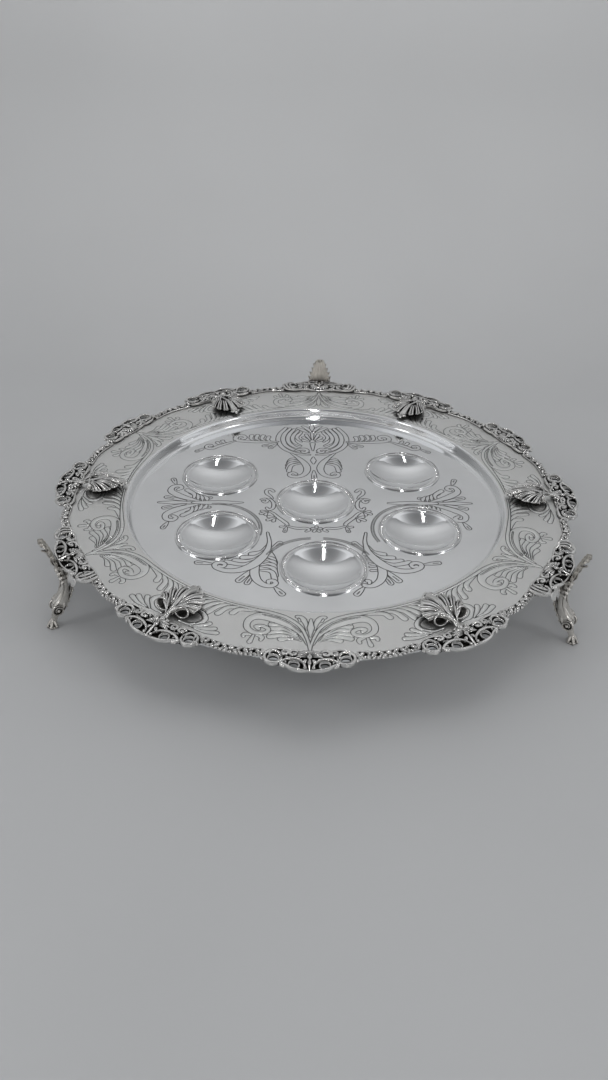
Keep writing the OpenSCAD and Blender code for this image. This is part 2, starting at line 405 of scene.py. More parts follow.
def border_ribbons():
    """One twelfth of the border: from the middle of a scroll, at 0, to the middle of a leaf, at 30."""
    # the bud on the middle line, with a curled leaf beside it
    rows = [
        ([(0.9, 177), (1.3, 170), (2.3, 165), (3.3, 164.2)], [0.5, 1.3, 1.9, 1.4]),
        ([(2.6, 168.6), (2.9, 166.4)], [0.6, 0.6], 0.2),
        ([(0, 184), (0, 175), (0, 166.5)], [0.5, 2.3, 0.7]),
    ]
    # long flutes that leave the stem and sweep under the leaf, each lying over the last
    flutes = [
        ((23.5, 162.0), (27.3, 163.6), (29.6, 166.5)),
        ((21.5, 162.0), (26.2, 164.2), (28.8, 169.5)),
        ((19.5, 162.0), (24.9, 164.6), (27.6, 173.0)),
        ((17.5, 162.0), (23.4, 165.0), (26.0, 176.0)),
        ((15.5, 162.0), (21.8, 165.4), (24.0, 177.5)),
        ((13.5, 162.2), (19.9, 165.6), (21.6, 175.0)),
        ((11.5, 163.0), (17.2, 165.2), (18.6, 170.6)),
    ]
    rows += [(pairs, [0.5, 1.5, 2.1]) for pairs in flutes]
    # a broad scroll round the leaf's eye, and a lobed leaf beside the rim
    rows.append((
        [(27.8, 193.5), (25.4, 193.0), (23.6, 189.4), (23.2, 183.8), (24.7, 179.4), (26.8, 178.2)],
        [0.5, 1.3, 1.8, 1.9, 1.6, 1.0]))
    lobes = [((21.4, 195.4), (19.0, 193.8)), ((21.6, 192.6), (19.9, 190.4)), ((22.6, 190.4), (21.6, 187.0))]
    rows += [([(24.8, 194.8), *lobe], [0.4, 1.4, 1.7]) for lobe in lobes]
    # the comb of flutes between stem and volute, from the shell's side to the inner one
    comb = [
        ((1.9, 188.4), (3.6, 186.2), (6.0, 188.2)),
        ((2.2, 187.0), (5.2, 184.0), (8.3, 187.0)),
        ((2.4, 185.4), (5.8, 181.0), (9.0, 183.2)),
        ((2.7, 183.6), (5.9, 177.8), (9.0, 179.0)),
        ((3.0, 181.8), (5.8, 174.6), (8.8, 174.8)),
        ((3.3, 180.0), (5.8, 171.6), (8.9, 171.0)),
    ]
    rows += [(pairs, [0.5, 1.6, 2.1]) for pairs in comb]
    rows += [
        # the drop under the volute
        ([(11.5, 186.8), (9.9, 188.6), (9.9, 191.4)], [0.6, 1.5, 1.2]),
        ([(11.5, 186.8), (13.6, 188.6), (13.6, 190.6)], [0.6, 1.5, 1.2]),
        ([(11.7, 187.5), (11.9, 195.0)], [0.7, 1.6]),
        # the volute, broad at its turn, and the stem that it springs from
        ([(0.6, 192), (2.0, 182), (4.4, 174.0), (8.0, 168.6), (11.6, 167.6), (13.7, 171.2), (14.2, 177.0),
          (13.5, 182.4), (11.6, 185.4), (9.5, 183.6), (9.2, 179.8), (10.7, 177.6), (12.0, 179.0),
          (11.2, 181.0)],
         [0.5, 0.9, 1.6, 2.8, 3.8, 4.0, 3.5, 2.6, 2.1, 1.9, 1.7, 1.5, 1.3, 1.3]),
        ([(2.2, 180), (4.6, 172.4), (8.0, 167.4), (11.6, 166.0)], [0.2, 0.3, 0.3, 0.2], 0.15),
        ([(0.0, 197), (0.6, 187), (2.2, 175), (5.2, 167), (9.0, 163.2), (14.0, 162.0), (21.0, 161.6),
          (28.6, 161.8)], [0.8, 1.0, 1.2, 1.3, 1.2, 0.8, 0.6, 0.5]),
    ]
    return [border_ribbon(*row) for row in rows]


def border_wedge():
    """One twelfth of the border's upper face, chased, lying at the border's height."""
    step = 360 / CIRCLE_STEPS
    angles = np.arange(0, PITCH + step / 2, step)
    radii = np.linspace(CHASED_R, SHEET_R, 25)
    edges = [polar(r, angles) for r in (CHASED_R, SHEET_R)] + [polar(radii, a) for a in (0.0, PITCH)]
    inner_chord = CHASED_R * math.cos(math.radians(step / 2)) - CHORD_SLACK

    def keep(c):
        r = np.hypot(c[:, 0], c[:, 1])
        a = np.degrees(np.arctan2(c[:, 1], c[:, 0]))
        return (r > inner_chord) & (r < SHEET_R) & (a > 0) & (a < PITCH)

    points, faces, kind = chased_sheet(border_ribbons(), [], edges, keep)
    return points + [0, 0, BORDER_Z], faces, kind


# ------------------------------------------------------------------ the floor's engraving
# Each group is drawn for the right-hand side; floor_ribbons() adds its mirror image.
def engraved(points, widths):
    return Ribbon(points, widths, groove=0.8, depth=0.3)


def strokes(*rows):
    """Engraved bands, from rows of points and half widths."""
    return [engraved(points, widths) for points, widths in rows]


def flute_fan(roots, tips, bow, widths):
    """Flutes side by side, from points along one line to points along another, each bowed sideways."""
    out = []
    for root, tip in zip(np.array(roots, float), np.array(tips, float)):
        side = np.array([root[1] - tip[1], tip[0] - root[0]])
        out.append(engraved([root, (root + tip) / 2 + side * bow, tip], widths))
    return out


def leaflets(*rows):
    """Rounded drops from a root to a tip, with a half width, each with a short vein inside it."""
    out = []
    for root, tip, half in rows:
        root = np.array(root, float)
        tip = np.array(tip, float)
        out.append(engraved([root, (root + tip) / 2, tip], [0.4, half * 0.8, half]))
        out.append(Ribbon([root * 0.35 + tip * 0.65, tip], [0.1, 0.1], groove=0.5, depth=0.25))
    return out


def spokes(centre, lengths, widths):
    """Straight drops round a centre, from (heading, nearest, farthest) rows."""
    return [
        engraved([centre + polar(near, heading), centre + polar(far, heading)], widths)
        for heading, near, far in lengths
    ]


def trefoil(root, heading, size):
    """Three short drops from a root, the middle one longest."""
    lengths = [(heading + swing, 0, size * reach) for swing, reach in ((42, 0.8), (-42, 0.8), (0, 1.05))]
    return spokes(root, lengths, [0.3, size * 0.19])


def medallion():
    """The round fluted shell behind the middle well."""
    out = strokes(
        ([(0, 127), (0, 136), (0, 143)], [1.0, 2.2, 0.9]),
        ([(1.5, 127), (5, 133.5), (9, 138)], [0.8, 1.8, 1.0]),
        ([(4, 125), (9, 130), (14, 134)], [0.7, 1.7, 1.0]))
    bands = [
        ([(10.5, 106), (14, 111.5), (14.5, 117), (10.5, 125)], 1.5),
        ([(11, 98), (17, 104), (19, 111), (18, 119), (13.5, 129)], 1.7),
        ([(7, 91), (16, 95), (21.5, 102), (23.5, 111), (22, 121), (17.5, 131.5)], 1.8),
        ([(4, 85), (15, 88), (24.5, 97), (28, 108.5), (27, 121), (21.5, 133)], 1.9),
        ([(3, 80.5), (16, 83), (27.5, 93), (32.6, 107), (31.5, 121), (25.5, 134.5)], 1.9),
    ]
    for points, half in bands:
        out.append(engraved(points, [0.5, half * 0.8, half, half, half * 0.7]))
    out.append(engraved([(0, 102), (0, 95), (0, 89)], [2.2, 1.3, 0.4]))
    fan_tips = ((90, 18.5), (70, 17.0), (51, 13.6), (31, 10.4))
    out += spokes((0, 104), [(heading, far * 0.35, far) for heading, far in fan_tips], [0.4, 1.1, 1.5])
    curl = np.vstack([[(17, 88), (13, 91)], spiral((8.6, 87.5), 4.6, 1.6, 60, 330)])
    out.append(engraved(curl, [0.5, 1.3, 1.5, 1.4, 1.2]))
    return out + leaflets([(34, 102), (40, 94), 1.8], [(34, 103), (46, 97.5), 1.8])


def medallion_scrolls():
    """The inverted V of leaf scrolls under the medallion."""
    out = flute_fan(
        [(14, 74), (13, 71), (12, 68), (10.5, 65)], [(22.5, 66), (23.5, 60.5), (23.6, 55.5), (22.5, 50.5)],
        0.24, [0.5, 1.5, 1.9])
    out.append(engraved(
        [(20, 83), (13.5, 74), (8, 64), (6, 54), (8.6, 45), (14.5, 40.6), (20.6, 41.4), (22, 45.4),
         (18.6, 47.4), (16, 45)],
        [0.6, 1.3, 2.2, 2.7, 2.9, 2.5, 2.0, 1.7, 1.4, 1.2]))
    out += leaflets([(0, 51), (0, 38.5), 2.1])
    return out + strokes(([(0, 76), (0, 70), (0, 64)], [0.5, 2.4, 0.5]))


def edge_scrolls():
    """The chain of scrolls along the back of the floor."""
    out = flute_fan(
        [(40, 106), (45, 106.5), (50, 107), (55, 107)],
        [(42, 115.5), (47.5, 117.8), (53, 118.6), (58.5, 118)], -0.2, [0.4, 1.4, 1.8])
    long_stem = [(33, 106), (43, 105.4), (54, 105.4), (65, 106.6)]
    out.append(engraved(
        np.vstack([long_stem, spiral((68, 113.4), 6.6, 2.2, -50, 250)]), [0.6, 1.3, 1.8, 2.1, 1.8, 1.4]))
    out += flute_fan([(82, 103), (86, 100.5)], [(86, 107), (91, 104)], -0.2, [0.4, 1.2, 1.5])
    short_stem = [(74, 107), (82, 101.5), (90, 96)]
    out.append(engraved(
        np.vstack([short_stem, spiral((97, 96), 5.0, 1.8, -130, 150)]), [0.5, 1.4, 1.6, 1.4, 1.2]))
    return out + leaflets([(102, 92), (108.5, 86.5), 1.7])


def side_palmette():
    """The palmette between the right-hand wells, the same on both sides of its axis."""
    axis_y = -3
    out = []
    for s in (-1, 1):
        def at(x, y):
            return (x, axis_y + s * y)
        out += leaflets([at(100, 3), at(90, 7.6), 1.7])
        out += flute_fan(
            [at(92, 2), at(96, 2.5), at(100, 3), at(104, 4)],
            [at(96.5, 9.5), at(102, 12), at(106.6, 15.6), at(110.5, 20)], 0.2 * s, [0.4, 1.6, 2.0])
        out += leaflets([at(121.5, 30), at(124.5, 38), 1.9])
        out.append(engraved(
            [at(98, 2), at(109, 6.6), at(118, 12), at(124.4, 18.6), at(123.4, 25.4), at(118.2, 27),
             at(115.8, 23.4), at(118.6, 20.8)], [0.5, 1.6, 2.5, 3.0, 2.6, 2.0, 1.7, 1.3]))
        out += leaflets([at(110, 2.5), at(127, 8.4), 2.0])
    return out + strokes(
        ([(x, axis_y) for x in (104, 88, 74, 62)], [1.2, 2.6, 2.4, 0.5]),
        ([(x, axis_y) for x in (106, 120, 133)], [0.8, 2.4, 0.6]))


def corner_spray():
    """The leaf spray between a lower well and the front well."""
    out = leaflets([(38, -74), (29.6, -62.6), 2.1], [(37.6, -72), (34, -88.6), 2.6])
    out += flute_fan(
        [(40, -66), (41, -72), (43, -78), (46, -84)], [(51.5, -77.5), (58, -82), (64, -86), (70, -88)],
        -0.2, [0.4, 1.6, 2.1])
    out += flute_fan(
        [(40, -80), (41, -84), (42.5, -88.5), (44, -93), (45.6, -98)],
        [(35.4, -91.4), (34.3, -96), (33.4, -100.5), (32.6, -105), (33, -109.6)], -0.3, [0.4, 1.6, 2.0])
    out += leaflets(
        [(81, -90.5), (92.6, -88.6), 1.9], [(33, -119), (27.4, -127), 2.2],
        [(49, -96), (59.6, -111), 2.3], [(48, -100), (53.4, -114), 1.9])
    return out + strokes(
        ([(44, -80), (47.6, -92), (48.4, -102), (46, -110.6), (41, -116.2), (35.4, -117.4), (32.2, -114.4),
          (34, -111.2), (37.6, -111.6), (37.4, -114)],
         [0.6, 1.7, 2.6, 3.1, 3.1, 2.6, 2.1, 1.8, 1.5, 1.2]),
        ([(39.6, -48), (38, -62), (40.6, -77), (49, -90.6), (59.6, -98), (70, -98.8), (77.6, -95),
          (78.8, -90.6), (75, -88.6), (71.4, -90.6), (72.4, -93.8), (75.4, -93)],
         [0.6, 1.0, 1.5, 2.3, 3.1, 3.5, 3.0, 2.4, 2.0, 1.8, 1.5, 1.2]))


def wreath():
    """The thin wreath of S-scrolls round the middle well."""
    out = strokes(
        ([(35.8, 15.4), (38.6, 18.6), (41.8, 16.8), (41.4, 11.6), (38.2, 7.4), (36.6, 4)],
         [1.0, 1.1, 1.2, 1.3, 1.0, 0.5]),
        ([(44.8, -0.4), (42.6, -2.4), (40.6, 0.4), (42.4, 3.2), (46.4, 2.2)], [0.8, 1.0, 1.1, 1.0, 0.5]),
        ([(40.6, 3.6), (37.4, 1.0), (35.4, -5), (36.0, -11.4), (39.4, -13.8), (41.2, -11)],
         [0.5, 1.0, 1.3, 1.3, 1.1, 0.9]))
    out += trefoil((40.4, -17), -30, 6.0)
    out += strokes((
        [(39, -16.4), (35, -20), (31.6, -25.4), (27.4, -30.6), (24.0, -35.6), (25.6, -40), (29.2, -39.4)],
        [0.5, 0.9, 1.2, 1.3, 1.3, 1.1, 0.9]))
    out += trefoil((33.6, -25.6), -32, 7.0)
    out += strokes((
        [(24, -38.4), (16, -41.6), (8.6, -41.4), (6.0, -44), (8.4, -46)], [0.5, 1.0, 1.1, 1.0, 0.8]))
    out += leaflets([(24.4, -40), (25.8, -46), 1.3])
    return out + spokes((0, -43), [(90 + 72 * k, 0, 3.6) for k in range(5)], [0.3, 1.1])


def well_arcs():
    """Fine arcs that follow the rings of the lower wells."""
    out = []
    for name, start, end in (("front_right", 85, 205), ("front", 25, 88)):
        centre = turned([WELLS[name][:2]], -FLOOR_TURN)[0]
        for gap in (3.6, 5.4):
            arc = centre + polar(RING_R + gap, np.linspace(start, end, 30))
            out.append(Ribbon(arc, [0.12], groove=0.5, depth=0.25))
    return out


def runs(flags):
    """First and last places of each unbroken run of true flags."""
    edges = np.flatnonzero(np.diff(np.concatenate([[0], flags.astype(int), [0]])))
    return list(zip(edges[::2], edges[1::2]))


def floor_ribbons():
    """All of the engraving on both sides, cut back where it would meet a ring or the floor's edge."""
    out = []
    for group in (medallion, medallion_scrolls, edge_scrolls, side_palmette, corner_spray, wreath, well_arcs):
        for ribbon in group():
            on_axis = np.abs(ribbon.path[:, 0]).max() <= 0.6
            for side in (1,) if on_axis else (1, -1):
                out += clear_parts(ribbon.moved(lambda p: turned(p * [side, 1], FLOOR_TURN)))
    return out


def clear_parts(ribbon):
    """The stretches of a ribbon that keep clear of the rings and the floor's edge."""
    gaps = [np.linalg.norm(ribbon.path - w[:2], axis=1) for w in WELLS.values()]
    clear = np.min(gaps, axis=0) - ribbon.half > RING_R + 0.3
    clear &= np.linalg.norm(ribbon.path, axis=1) + ribbon.half < FLOOR_R - 3
    out = []
    for first, last in runs(clear):
        if last - first >= 4:
            part = ribbon.moved(lambda p: p[first:last])
            part.half = ribbon.half[first:last]
            out.append(part)
    return out


# ------------------------------------------------------------------ the tray
def disc_with_holes(hole_r, ribbons):
    """The flat floor with the wells' mouths left open, and ribbons chased into it."""
    loops = [circle((0, 0), FLOOR_R, CIRCLE_STEPS)]
    loops += [circle(w, hole_r, WELL_STEPS) for w in WELLS.values()]
    hole_chord = hole_r * math.cos(math.pi / WELL_STEPS) - CHORD_SLACK

    def keep(c):
        inside = np.hypot(c[:, 0], c[:, 1]) < FLOOR_R
        for w in WELLS.values():
            inside &= np.linalg.norm(c - w[:2], axis=1) > hole_chord
        return inside

    return chased_sheet(ribbons, loops, [], keep)


def revolved(profile, steps, centre=(0, 0)):
    """Rows of points for a profile of (radius, height) pairs turned round an upright axis."""
    return [raised(circle(centre, r, steps), z) for r, z in profile]


def cove_profile(t):
    """The sheet's section from the floor up to the border, a distance t under its upper face."""
    rise = BORDER_Z - COVE_R - SHOULDER_BEND
    lean = math.radians(WALL_LEAN)
    reach = COVE_R + SHOULDER_BEND
    bend_r = FLOOR_R + reach * math.cos(lean) + (rise + reach * math.sin(lean)) * math.tan(lean)
    low = polar(COVE_R + t, np.linspace(-90, -WALL_LEAN, 9)) + [FLOOR_R, COVE_R]
    top = polar(SHOULDER_BEND - t, np.linspace(180 - WALL_LEAN, 90, 7)) + [bend_r, BORDER_Z - SHOULDER_BEND]
    return np.vstack([low, top])


def well_mouth(t):
    """Radius of a well where its dished face meets the floor's, a distance t under both."""
    return math.sqrt((DISH_R + t) ** 2 - (DISH_H + t) ** 2)


def well_profile(t):
    """A well's dished section from its mouth to its middle; the upper face has a rounded lip."""
    lip = 2.4
    r = np.append(np.linspace(well_mouth(t), WELL_R - 3.0, 9), np.linspace(WELL_R - 4.0, 0.6, 22))
    z = DISH_H - np.sqrt((DISH_R + t) ** 2 - r**2)
    if t == 0:
        inside = np.clip((WELL_R - r) / lip, 0, 1)
        z = z * inside * (2 - inside)
    return list(zip(r, z))


def make_tray():
    """The sheet's two faces, its edge and its wells; slots are polished, stippled, chased and line."""
    tray = Cast()
    points, faces, kind = disc_with_holes(WELL_R, floor_ribbons())
    tray.add(points, faces, np.where(kind == LINE, 3, 0))
    tray.grid(revolved(cove_profile(0.0), CIRCLE_STEPS), closed=True)
    wedge, faces, kind = border_wedge()
    rim_slots = np.array([1, 2, 3])[kind]
    for k in range(RIM_COUNT):
        # every other twelfth is a mirror image
        flip = k % 2
        tray.add(turned(wedge * [1, 1 - 2 * flip, 1], PITCH * (k + flip + 1)), faces, rim_slots)
    shoulder = cove_profile(0.0)[-1][0]
    tray.grid(revolved([(shoulder, BORDER_Z), (CHASED_R, BORDER_Z)], CIRCLE_STEPS), closed=True, slot=1)
    under = cove_profile(SHEET_T)
    edge = [(SHEET_R, BORDER_Z), (SHEET_R, BORDER_Z - SHEET_T), (under[-1][0], BORDER_Z - SHEET_T)]
    tray.grid(revolved(edge, CIRCLE_STEPS), closed=True)
    tray.grid(revolved(under, CIRCLE_STEPS), closed=True)
    points, faces, _ = disc_with_holes(well_mouth(SHEET_T), [])
    tray.add(points - [0, 0, SHEET_T], faces)
    for w in WELLS.values():
        for depth in (0.0, SHEET_T):
            rows = revolved(well_profile(depth), WELL_STEPS, w)
            tray.grid(rows, closed=True)
            tray.add(rows[-1], [tuple(range(WELL_STEPS))])
    return tray


# ------------------------------------------------------------------ gadroon rings
def make_well_ring():
    """A ring of fine slanted gadroons inside a plain rounded bead, round the part's axis."""
    flutes = 104
    groove_depth = 0.62
    steps = flutes * 6
    a = np.arange(steps) * 360 / steps
    inner = WELL_R + 0.2
    bead_r = 0.65
    width = RING_R - inner - 2 * bead_r
    # rows of radius, height and share of the way across the gadroons
    section = [(inner, 0.0, 0.0)]
    for t in np.linspace(0, 1, 9):
        section.append((inner + width * t, 0.25 + 0.65 * math.sin(math.pi * (0.12 + 0.76 * t)), t))
    for r, z in polar(bead_r, np.linspace(160, 0, 9)) + [RING_R - bead_r, RING_TOP - bead_r]:
        section.append((r, z, 0.0))
    section.append((RING_R, 0.0, 0.0))
    rows = []
    for r, z, t in section:
        groove = (1 - np.abs(np.sin(np.radians(a * flutes / 2 + 60 * t)))) ** 1.5
        cut = groove_depth * groove * math.sin(math.pi * t) ** 0.5 if 0 < t < 1 else 0.0
        rows.append(raised(circle((0, 0), r, steps), np.maximum(z - cut, 0)))
    rows.append(rows[0])
    ring = Cast()
    ring.grid(rows, closed=True)
    return ring


# ------------------------------------------------------------------ pierced plates
def inside_outline(points, outline):
    """Which points lie inside a closed outline."""
    x, y = points[:, 0], points[:, 1]
    inside = np.zeros(len(points), bool)
    for (x0, y0), (x1, y1) in zip(outline, np.roll(outline, -1, axis=0)):
        crosses = (y0 > y) != (y1 > y)
        at = x0 + (y - y0) / (y1 - y0 + 1e-12) * (x1 - x0)
        inside ^= crosses & (x < at)
    return inside


def plate(outline, holes, low, high, slot=0):
    """A flat plate between two heights, inside an outline and pierced by holes."""
    cast = Cast()
    q, faces = triangulate([outline] + holes, [])
    centres = q[faces].mean(axis=1)
    keep = inside_outline(centres, outline)
    for hole in holes:
        keep &= ~inside_outline(centres, hole)
    for z in (low, high):
        cast.add(raised(q, z), faces[keep], slot)
    for loop in [outline] + holes:
        cast.grid([raised(loop, z) for z in (low, high)], closed=True, slot=slot)
    return cast


# ------------------------------------------------------------------ the cast rim
# A cartouche is laid out flat: x runs along the rim from its middle, y outwards from the rail's
# circle and z up from the border. bent() then wraps it round the tray.
KIND_REACH = {"plain": 31.0, "leaf": 35.0, "foot": 37.0}


def bent(angle):
    """What wraps a flat casting round the rim, with its middle at an angle."""
    def change(p):
        around = angle + np.degrees(p[:, 0] / RAIL_R)
        return raised(polar(RAIL_R + p[:, 1], around), BORDER_Z + p[:, 2])
    return change


def rim_kind(k):
    """The kind of the cartouche that stands k twelfths round from +X."""
    return {3: "foot", 1: "plain"}.get(k % 4, "leaf")


def end_scroll(kind):
    """Where a cartouche's end scroll stands along the rim, and how far that stretches a plain one."""
    end, plain_end = KIND_REACH[kind] - 8.0, KIND_REACH["plain"] - 8.0
    return end, end / plain_end


def scroll(cast, path, heights, width, tall=1.7):
    """A cast scroll band: a groove runs down its crest and its edges are nicked like a leaf's."""
    path = level(path, heights)
    nick_length = 2.6
    nicked = along(path, width) * (0.82 + 0.36 * np.abs(np.sin(np.pi * run_length(path) / nick_length)))
    cast.tube(path, nicked, [tall * 0.7, tall, tall, tall * 0.8], sides=14, keel=-0.35)


def fan(cast, centre, spread, inner, outer, width, z=2.0):
    """Petals that stand round a centre like the ribs of a shell."""
    for spoke in polar(1.0, np.array(spread)):
        root = np.array(centre) + spoke * inner
        tip = np.array(centre) + spoke * outer
        cast.petal((*root, z), (*tip, z - 0.4), width, 1.2, rise=0.7, bulge=0.64)


def cartouche_eyes(kind):
    """Centre and radius of the two open eyes in a cartouche's right half."""
    end, stretch = end_scroll(kind)
    return (9.6 * stretch, 9.4, 2.9), (end, 5.2, 3.2)


def half_cartouche(kind):
    """Right half of a cartouche: two open scrolls on its outer side, curls and leaf tips inside them."""
    end, stretch = end_scroll(kind)
    half = Cast()

    def band(points, heights, width, tall=1.7, along_rim=1.0):
        scroll(half, curve(points) * [along_rim, 1.0], heights, width, tall)

    # the bright band that runs round the outside and closes both open scrolls
    band([(0.4, 13.4), (3.6, 14.0), (7.6, 13.9), (11.6, 12.6), (14.8, 10.4), (18.2, 9.2)],
         [1.2, 1.8, 2.0, 2.2, 2.4], [0.7, 0.85, 0.8, 0.9, 0.9], along_rim=stretch)
    scroll(half, spiral((end, 4.6), 6.1, 5.2, -165, 185),
           [1.6, 2.2, 2.6, 2.6, 2.0], [0.6, 0.9, 1.05, 1.05, 0.7], 2.0)
    # thin rings round the two open eyes, and a curl in the gap between them
    eyes = cartouche_eyes(kind)
    for x, y, r in eyes:
        ring = spiral((x, y), r + 0.5, r + 0.3, 100, 430)
        scroll(half, ring, [1.0, 1.8, 2.2, 1.6], [0.4, 0.55, 0.6, 0.4], 1.2)
    gap = (eyes[0][0] + eyes[1][0]) / 2 - 0.8
    scroll(half, spiral((gap, 8.6), 2.0, 0.7, 120, -220), [1.4, 2.4, 2.8], [0.5, 0.7, 0.5], 1.3)
    # the broad band that swoops from the shell to the end scroll, and the curls beside it
    band([(2.2, 10.6), (4.2, 7.6), (8.0, 5.6), (12.4, 5.4), (16.0, 6.8), (18.6, 9.2)],
         [1.6, 2.6, 3.0, 2.8, 2.2], [0.6, 0.9, 1.1, 1.0, 0.7], 2.0, along_rim=stretch)
    for x, size, start, finish in ((10.4, 3.5, -150, 200), (16.2, 3.0, 330, -20)):
        centre = (x * stretch, 0.2)
        curl = spiral(centre, size, 1.2, start, finish)
        scroll(half, curl, [1.8, 2.8, 3.2, 3.0], [0.6, 1.1, 1.1, 0.8], 1.6)
        half.bead((*centre, 3.0), 1.1, 1.2)
    # the end scroll's inner curl, and the line along the border's side
    band([(end - 4.2, 3.0), (end - 2.8, 0.0), (end + 0.2, -1.0), (end + 2.8, 0.6), (end + 2.6, 3.4)],
         [1.8, 2.6, 3.0, 2.8, 2.4], [0.6, 0.9, 0.9, 0.8, 0.5], 1.5)
    band([(5.4, -3.4), (9.6, -4.4), (14.6, -3.4), (end - 4.0, -4.2), (end + 2.6, -3.2), (end + 6.6, -0.4)],
         [1.2, 1.7, 1.5, 1.8, 1.8, 1.4], [0.6, 0.9, 0.7, 0.9, 0.9, 0.5], 1.6)
    # leaf tips along the bands and in the gaps, and knobs where the bands meet
    fan(half, (end + 5.4, 2.6), (-64, -34, -4), 0.6, 4.2, 1.1)
    fan(half, (15.6 * stretch, 8.8), (50, 84), 0.4, 3.6, 1.1)
    fan(half, (13.4 * stretch, 1.8), (35, 80, 125), 0.2, 3.0, 0.8)
    fan(half, (6.0 * stretch, 9.4), (200, 240, 280), 1.8, 4.2, 0.8)
    fan(half, (end, 9.0), (60, 90, 120), 0.6, 2.6, 0.9)
    knobs = ((17.4 * stretch, 9.4, 1.4), (end + 6.8, 6.6, 1.3), (end + 8.2, 1.2, 1.1), (2.6, 12.2, 1.2))
    for x, y, r in knobs:
        half.bead((x, y, 2.6), r, 1.2)
    if kind == "foot":
        for x in end + 6.6 - 3.3 * np.arange(3):
            band([(x - 4.4, -3.8), (x, -2.0), (x + 1.4, 3.4), (x - 0.8, 8.0), (x - 4.4, 9.8)],
                 [1.4, 3.2, 3.8, 3.2, 1.6], [0.5, 1.0, 1.1, 1.0, 0.5], 1.6)
    return half


def shell_and_blossom(kind):
    """The half daisy on the border's side, the seam below it, and buds in front of a leaf's stem."""
    middle = Cast()
    for heading in np.linspace(180, 360, 11):
        spread = abs(math.cos(math.radians(heading)))
        root = polar(1.8, heading) + [0, 3.0]
        tip = polar(7.6 + 3.0 * spread, heading) + [0, 3.0]
        middle.petal((*root, 3.0), (*tip, 1.4), 1.1, 1.1, rise=1.1, bulge=0.66)
    for heading in (50, 90, 130):
        root = polar(1.6, heading) + [0, 3.4]
        tip = polar(6.4, heading) + [0, 3.6]
        middle.petal((*root, 2.6), (*tip, 2.0), 1.2, 1.2, rise=0.8, bulge=0.6)
    seam = [(0, -5.4), (0, -1.0), (0, 4.0), (0, 9.0), (0, 14.2)]
    middle.tube(level(seam, [1.2, 3.6, 4.0, 3.0, 1.4]), [0.35, 0.6, 0.8, 0.8, 0.7], 0.9)
    middle.bead((0, 3.2, 3.8), 1.8, 1.2)
    if kind == "leaf":
        buds = ((-3.2, -1.6, 1.6), (3.2, -1.6, 1.6), (0, -4.2, 1.7), (-5.4, 1.6, 1.4), (5.4, 1.6, 1.4))
        for x, y, r in buds:
            middle.bead((x, y, 3.4), r, 1.6)
    return middle


def rail(reach):
    """The rim's rail behind a cartouche, bowed in towards the border at its middle."""
    dip = 4.6
    x = np.linspace(-reach, reach, 60)
    y = -0.6 - dip * np.cos(x / reach * math.pi / 2) ** 2
    return np.column_stack([x, y, np.full(60, 0.7)])


def shade_backing(kind):
    """A thin dark plate of painted shade under the scrolls, pierced by the eyes and wavy on the border's
    side.
    """
    reach = KIND_REACH[kind]
    end, stretch = end_scroll(kind)
    x = np.linspace(0, reach, 61)
    fade = np.cos(x / reach * math.pi / 2) ** 0.35
    inner = np.column_stack([x, 0.4 - fade * (4.0 + 0.5 * np.cos(x * 0.9))])
    outer = curve([(0, 13.0), (3.6, 13.6), (7.6, 13.5), (11.6, 12.2), (14.8, 10.0), (18.2, 8.8)])
    outer[:, 0] *= stretch
    corner = curve([(end, 9.4), (end + 4.0, 7.8), (end + 5.4, 4.6), (reach, 1.6)])
    right = np.vstack([outer, corner, inner[::-1]])
    outline = np.vstack([right, (right[1:-1] * [-1, 1])[::-1]])
    eyes = [circle((side * x, y), r, 28) for side in (-1, 1) for x, y, r in cartouche_eyes(kind)]
    return plate(outline, eyes, 0.0, 0.6, slot=1)


def make_cartouche(kind):
    """A whole cartouche, still flat; slots are silver and the dark plate of painted shade behind the scrolls.
    """
    whole = shade_backing(kind)
    half = half_cartouche(kind)
    for part in (half, flipped(half), shell_and_blossom(kind)):
        whole.join(part)
    whole.tube(rail(KIND_REACH[kind]), 0.5, 0.7)
    return whole


def make_moulding(k):
    """The narrow moulding between two cartouches, with leaf sprigs either side of a knop."""
    start = PITCH * k + math.degrees(KIND_REACH[rim_kind(k)] / RAIL_R)
    end = PITCH * (k + 1) - math.degrees(KIND_REACH[rim_kind(k + 1)] / RAIL_R)
    half_len = math.radians(end - start) / 2 * RAIL_R
    whole = Cast()
    run = np.linspace(-half_len, half_len, 50)

    def sway(at):
        return 0.9 * np.cos(np.pi * at / half_len)

    for y, z, width, height in ((-2.0, 0.6, 0.55, 0.9), (0.4, 0.4, 1.9, 0.5), (2.5, 0.3, 0.7, 1.3)):
        whole.tube(np.column_stack([run, y + sway(run), np.full(50, z)]), width, height, sides=10)
    half = Cast()
    for i in range(4):
        x = 2.8 + i * (half_len - 4.6) / 4
        y = 0.3 + sway(x)
        side = 1 if i % 2 else -1
        half.petal((x, y - side * 0.8, 1.3), (x + 5.2, y + side * 2.2, 1.9), 1.5 - 0.12 * i, 1.4, rise=0.7)
        half.petal((x + 1.2, y, 1.2), (x + 3.6, y - side * 2.4, 1.4), 0.9, 1.0, rise=0.4)
    # small leaf tips that overlap along the outer edge
    for x in np.arange(1.6, half_len - 4.0, 3.1):
        y = 2.5 + sway(x)
        half.petal((x, y - 0.7, 0.9), (x + 3.9, y + 1.0, 0.2), 1.1, 1.4, rise=0.3)
    x = half_len - 2.2
    scroll(half, spiral((x, 0.6 + sway(x)), 2.6, 1.0, -120, 240), [1.2, 2.2, 2.2], [0.5, 0.8, 0.6], 1.3)
    half.petal((0.8, 1.8, 1.6), (4.6, 4.2, 1.6), 1.4, 1.3)
    whole.join(half)
    whole.join(flipped(half))
    whole.bead((0, 1.2, 2.0), 2.1, 1.7)
    whole.bead((0, 4.3, 1.2), 1.3, 1.2)
    return whole.mapped(bent((start + end) / 2))


